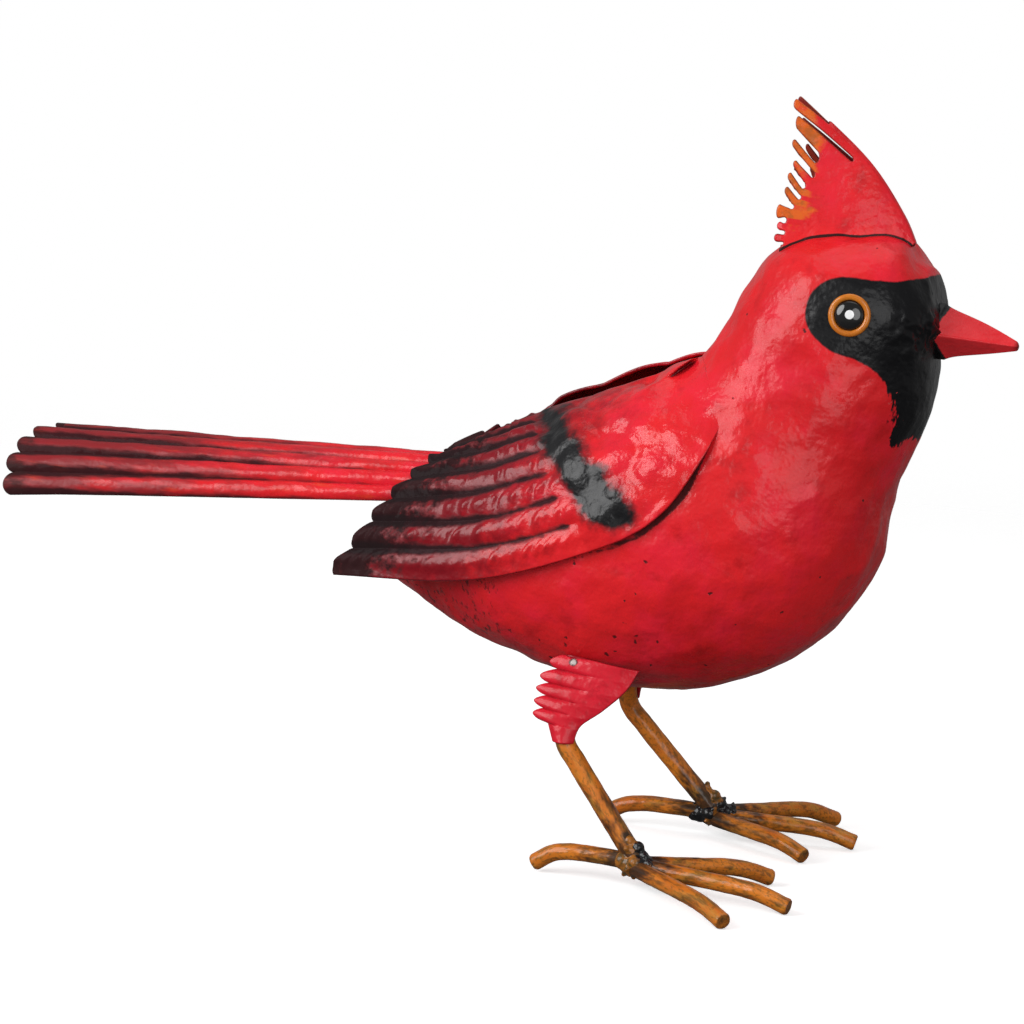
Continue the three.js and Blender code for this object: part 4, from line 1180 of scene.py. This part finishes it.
rod = {
    "legTop": [40, 25, 66], "legBend": {"x": [38.6, 37.6], "out": [33.3, 35.6], "z": 40.5},
    "ankle": {"x": [64.8, 66.4], "out": 40, "z": 8.1},
    "above": [-0.4, 0.65, 0.62], "below": [0.2, 0.2, 0.21], "lead": 1.3,
    # Toe tips x, out on the right foot and the left
    "toes": {"hind": [[33, 38.9], [30.4, 38.6]], "outer": [[104, 74], [99.4, 78.4]],
             "middle": [[116.2, 46], [113.2, 48.6]], "inner": [[102, 13.2], [103.4, 20.2]]},
    "heights": {"hind": [7.4, 7.8, 6.7, 2.3], "front": [6.8, 6.4, 5.5, 2.3]},
    # How much the middle of a toe stands higher or lower, on the right foot and the left
    "lift": {"hind": [0, 0], "outer": [-0.9, 0.7], "middle": [-0.3, -0.1], "inner": [-0.2, -0.8]},
    "fractions": [0.04, 0.34, 0.77, 1],
    "tree": {"Leg Radius": 0.0031, "Toe Radius": 0.0026, "Spacing": 0.0006, "Sides": 40, "End Round": 0.0007,
             "Wobble": 0.00022, "Seed": 1.7},
}


def rodTree():
    given = shapeTree("bentRod", rod["tree"])
    tree = given["Geometry"].tree
    curve = add(tree, "GeometryNodeMeshToCurve", {0: given["Geometry"]})
    curve = add(tree, "GeometryNodeResampleCurve", {"Curve": curve, "Length": given["Spacing"]}, mode="LENGTH")
    reach = add(tree, "GeometryNodeSplineParameter", out="Length")
    end = reach.atMost(add(tree, "GeometryNodeSplineLength") - reach)
    ease = 1.0 - (end / given["End Round"]).atMost(1.0)
    thick = lerp(given["Toe Radius"], given["Leg Radius"], attribute(tree, "isLeg"))
    curve = stored(curve, {"along": reach / mm, "endGap": end / mm})
    circle = add(tree, "GeometryNodeCurvePrimitiveCircle", {"Resolution": given["Sides"], "Radius": 1.0})
    around = add(tree, "GeometryNodeSplineParameter") * (2 * pi)
    circle = stored(circle, {"turnX": around.step("COSINE"), "turnY": around.step("SINE")})
    tube = add(tree, "GeometryNodeCurveToMesh", {
        "Curve": curve, "Profile Curve": circle, "Scale": thick - ease * ease * given["End Round"] * 0.5,
        "Fill Caps": True})
    lumps = noiseAt(add(tree, "GeometryNodeInputPosition"), 170.0, 2.0, 0.6) - 0.5
    tube = moved(raised(tube, lumps * given["Wobble"] * 2.0), Position=aboveFloor(tree, 0.0))
    return ended(tube, given["Material"])


def ankleOf(foot):
    ankle = rod["ankle"]
    return np.array([ankle["x"][foot], ankle["out"], ankle["z"]])


def rodPaths(foot):
    # The leg and the four toes, each with 1 for a leg and 0 for a toe: x, out, z
    bend, ankle, top = rod["legBend"], ankleOf(foot), np.array(rod["legTop"])
    knee = np.array([bend["x"][foot], bend["out"][foot], bend["z"]])
    across = np.array(rod["above"])
    above = [knee[0] + across[0], *lerp(top, knee, across)[1:]]
    paths = [(1, [top, above, knee, lerp(knee, ankle, np.array(rod["below"])), ankle + [rod["lead"], 0, 0]])]
    for toe, tips in rod["toes"].items():
        heights, lift = rod["heights"].get(toe, rod["heights"]["front"]), rod["lift"][toe][foot]
        paths.append((0, [[*lerp(ankle[:2], np.array(tips[foot]), share), height + lift * (share < 1)]
                          for share, height in zip(rod["fractions"], heights)]))
    return paths


def makeFoot(name, foot, sign):
    points, edges, isLeg = [], [], []
    for leg, rows in rodPaths(foot):
        path = smoothPath(rows) * [1, sign, 1]
        edges += [(len(points) + k, len(points) + k + 1) for k in range(len(path) - 1)]
        points += path.tolist()
        isLeg += [leg] * len(path)
    piece = makePiece("foot" + name, points, values={"isLeg": isLeg}, edges=edges)
    shaped(piece, bentRod, {**rod["tree"], "Seed": rod["tree"]["Seed"] + foot, "Material": rodEnamel})
    sootAndShadow = np.linalg.norm((placesOf(piece) - ankleOf(foot) * [1, sign, 1]) * [1, 1, 0.75], axis=1)
    setValues(piece.data, {"sootAndShadow": sootAndShadow})
    return piece


bentRod = rodTree()
rodEnamel = enamel("rodEnamel", {}, [
    wash(0.4, (0.5, 0.26, 0.04), 0.6, 0.1, 230, strength=0.6),
    wash(0.34, (0.62, 0.12, 0.015), 0.6, 0.1, 290, strength=0.6),
    wash(0.4, paint["olive"], 0.7, 0.14, 500, strength=0.65),
    wash(0.38, (0.12, 0.075, 0.014), 0.7, 0.12, 1200, stretch=(1.6, 1, 1), strength=0.6),
    rim("sootAndShadow", 12, (0.014, 0.013, 0.01), 8, 26, strength=0.9),
    rim("endGap", 0.1, (0.12, 0.05, 0.012), 0.4, 0.6, 500, strength=0.8),
], light=(0.78, 0.24, 0.022), deep=(0.56, 0.14, 0.013), patch=150.0, roughness=0.36, coat=0.3, bump=0.8,
    isRod=True, skin={"Ripple Scale": 420.0, "Ripple Height": 0.5, "Peel Height": 0.06})
for foot, (name, sign) in enumerate(sideSigns.items()):
    ending = name.lower()
    toes = [f"toe_{toe}_{ending}" for toe in rod["toes"]]
    keep(makeFoot(name, foot, sign), "rod_paint", "leg_" + ending, *toes)


# Ankle welds: lumps of dark metal, grown over by crumbs and melted together

weld = {
    # Lumps on each foot, from the ankle: ahead, out, up, radius
    "lumps": {
        "Right": [[0.2, 0, -1.4, 4.2], [3, 0.6, -1, 3.4], [-2.6, 0.4, -0.6, 3.2], [0.2, -1.8, -0.4, 3],
                  [1.8, 2, -0.4, 2.9], [-0.4, 0, 2.6, 3], [-1.4, 0, 5.6, 2.2], [1.6, 0, 4, 2.3],
                  [3.4, 0.2, 1.6, 2.1], [4.8, -0.6, 0.6, 1.7], [5.8, 0.6, 0, 1.8], [6.4, 2.2, -0.4, 1.6],
                  [7.8, 0.4, -0.2, 1.5], [4.4, 1.2, 1.8, 1.3]],
        "Left": [[0, 0, -0.8, 4.2], [-3.2, 0, -1, 3.6], [-5.2, -0.4, -1.6, 2.7], [3, 0.4, -1, 3.4],
                 [5.2, 0.4, -1, 2.6], [0.2, -1.8, -0.4, 3], [1.8, 1.8, 0, 2.8], [0.2, 0, 2.8, 3.1],
                 [2.8, 0.4, 2.6, 2.5], [0.8, 0, 5, 2.4], [-2, 0, 6.4, 2.3], [5.4, 0.6, 1, 1.9],
                 [7.6, 0.6, 0, 1.6], [6.6, 1.8, 1.6, 1.7]],
    },
    # Burnt black places: ahead, out, up, radius
    "burnt": {"Right": [[5, 0.4, 1.8, 4], [8.4, 0.6, 0, 3], [2, 0, 5, 2.2], [-6, 0, 0, 2.4]],
              "Left": [[-4, 0, -1.2, 5.4], [0.4, -2, 0, 3], [5.4, 0.4, 1, 4], [8, 0.6, 0, 2.8]]},
    "tree": {"Crumb Size": 0.0009, "Crumb Spread": 0.0005, "Spacing": 0.003, "Voxel": 0.0003, "Melt": 4,
             "Seed": 4},
}


def weldTree():
    given = shapeTree("weldCrumbs", weld["tree"])
    tree = given["Geometry"].tree

    def balls(points, detail, radius):
        ball = add(tree, "GeometryNodeMeshIcoSphere", {"Radius": 1.0, "Subdivisions": detail})
        inputs = {"Points": points, "Instance": ball, "Scale": radius}
        return add(tree, "GeometryNodeRealizeInstances", {0: add(tree, "GeometryNodeInstanceOnPoints", inputs)})

    base = balls(given["Geometry"], 3, attribute(tree, "radius"))
    points = add(tree, "GeometryNodeDistributePointsOnFaces", {
        "Mesh": base, "Distance Min": given["Spacing"], "Density Max": 600000.0, "Seed": given["Seed"]},
        distribute_method="POISSON")
    chance = add(tree, "FunctionNodeRandomValue", {"Seed": given["Seed"]}, out=1, data_type="FLOAT")
    size = given["Crumb Size"] + (chance - 0.5) * given["Crumb Spread"] * 2.0
    whole = joined(base, balls(points, 2, size))
    volume = add(tree, "GeometryNodeMeshToVolume", {"Mesh": whole, "Voxel Size": given["Voxel"],
                                                    "Interior Band Width": 0.003}, resolution_mode="VOXEL_SIZE")
    melted = add(tree, "GeometryNodeVolumeToMesh", {"Volume": volume, "Threshold": 0.1})
    blur = {"Value": aboveFloor(tree, 0.0004), "Iterations": given["Melt"]}
    soft = add(tree, "GeometryNodeBlurAttribute", blur, data_type="FLOAT_VECTOR")
    return ended(moved(melted, Position=soft), given["Material"])


def makeWeld(name, foot, sign):
    flip = np.array([1, sign, 1])
    ankle, lumps = ankleOf(foot) * flip, np.array(weld["lumps"][name])
    piece = makePiece("weld" + name, lumps[:, :3] * flip + ankle, values={"radius": lumps[:, 3] * mm})
    shaped(piece, crumbs, {**weld["tree"], "Seed": weld["tree"]["Seed"] + foot, "Material": weldMetal})
    reach = (placesOf(piece) - ankle) * flip
    spots = np.array(weld["burnt"][name])
    burnt = np.max([row[3] - np.linalg.norm(reach - row[:3], axis=1) for row in spots], axis=0)
    setValues(piece.data, {"burnt": burnt})
    return piece


weldMetal = enamel("weldMetal", {}, [
    wash(0.42, paint["olive"], 0.65, 0.1, 320, strength=0.85),
    edge("burnt", (0.01, 0.01, 0.011), 0.5, 3, 260, roughness=0.24),
], light=(0.5, 0.17, 0.02), deep=(0.22, 0.085, 0.014), patch=200.0, roughness=0.34, coat=0.4, bump=0.6,
    skin={"Ripple Scale": 600.0, "Ripple Height": 0.4})
crumbs = weldTree()
for foot, (name, sign) in enumerate(sideSigns.items()):
    keep(makeWeld(name, foot, sign), "weld_steel", "ankle_weld_" + name.lower())


# Studio: pale floor that fades out, soft lamps, white surroundings

studio = {
    "floor": {"radius": 1.4, "sides": 96, "rings": 24, "drop": 0.2, "fade": [0.45, 1.15],
              "colour": (0.93, 0.93, 0.93), "dim": (0.16, 0.16, 0.16), "glow": 0.55},
    # Place, size, radiance
    "lamps": {"key": [(-0.74, -0.82, 0.64), 0.94, 5.2], "front": [(0.62, -1.1, 0.42), 0.9, 2.4],
              "fill": [(1.15, -0.45, 0.3), 0.5, 0.3], "top": [(0.1, 0.1, 1.2), 1.1, 0.9]},
    "aim": (0.02, 0, 0.11), "surround": 0.27,
}
white = (1, 1, 1, 1)


def makeFloor():
    floor = studio["floor"]
    around, rings = floor["sides"], floor["rings"]
    turn = 2 * pi * np.arange(around) / around
    spokes = np.stack([np.cos(turn), np.sin(turn), 0 * turn], -1)
    radii = np.linspace(0.02, 1, rings) * floor["radius"] / mm
    points = np.vstack([radius * spokes for radius in radii] + [[[0, 0, 0]]])
    faces = [face[::-1] for face in ringFaces(rings, around, False)]
    faces += [(j, (j + 1) % around, rings * around) for j in range(around)]
    material = bpy.data.materials.new("floorPaper")
    tree = emptyTree(material)
    # The paper looks pale, but throws little light back up
    seen = add(tree, "ShaderNodeLightPath")
    paper = add(tree, "ShaderNodeBsdfPrincipled", {
        "Base Color": blend(seen, opaque(floor["dim"]), opaque(floor["colour"])), "Roughness": 0.9,
        "Specular IOR Level": 0.1, "Emission Color": white, "Emission Strength": seen * floor["glow"]})
    clear = add(tree, "ShaderNodeBsdfTransparent")
    faded = {0: ramp(attribute(tree, "far"), *floor["fade"]), 1: paper, 2: clear}
    endWith("ShaderNodeOutputMaterial", add(tree, "ShaderNodeMixShader", faded))
    values = {"far": np.linalg.norm(points, axis=1) * mm}
    makePiece("paperFloor", points - [0, 0, floor["drop"]], faces, values, material)


def makeLamp(name, place, size, radiance):
    data = bpy.data.lights.new(name, "AREA")
    data.shape, data.size = "DISK", size
    data.energy = radiance * pi * pi * size ** 2 / 4
    lamp = newObject(name, data)
    lamp.location = place
    lamp.rotation_euler = (Vector(place) - Vector(studio["aim"])).to_track_quat("Z", "Y").to_euler()


def makeSurround():
    # White to the camera, softer as light
    scene.world = bpy.data.worlds.new("surround")
    tree = emptyTree(scene.world)
    soft, bright = (add(tree, "ShaderNodeBackground", {"Color": white, "Strength": strength})
                    for strength in (studio["surround"], 1.0))
    seen = add(tree, "ShaderNodeLightPath")
    endWith("ShaderNodeOutputWorld", add(tree, "ShaderNodeMixShader", {0: seen, 1: soft, 2: bright}))


makeFloor()
for name, (place, size, radiance) in studio["lamps"].items():
    makeLamp(name + "Lamp", place, size, radiance)
makeSurround()
scene.view_settings.view_transform = "Standard"
print("studio made")
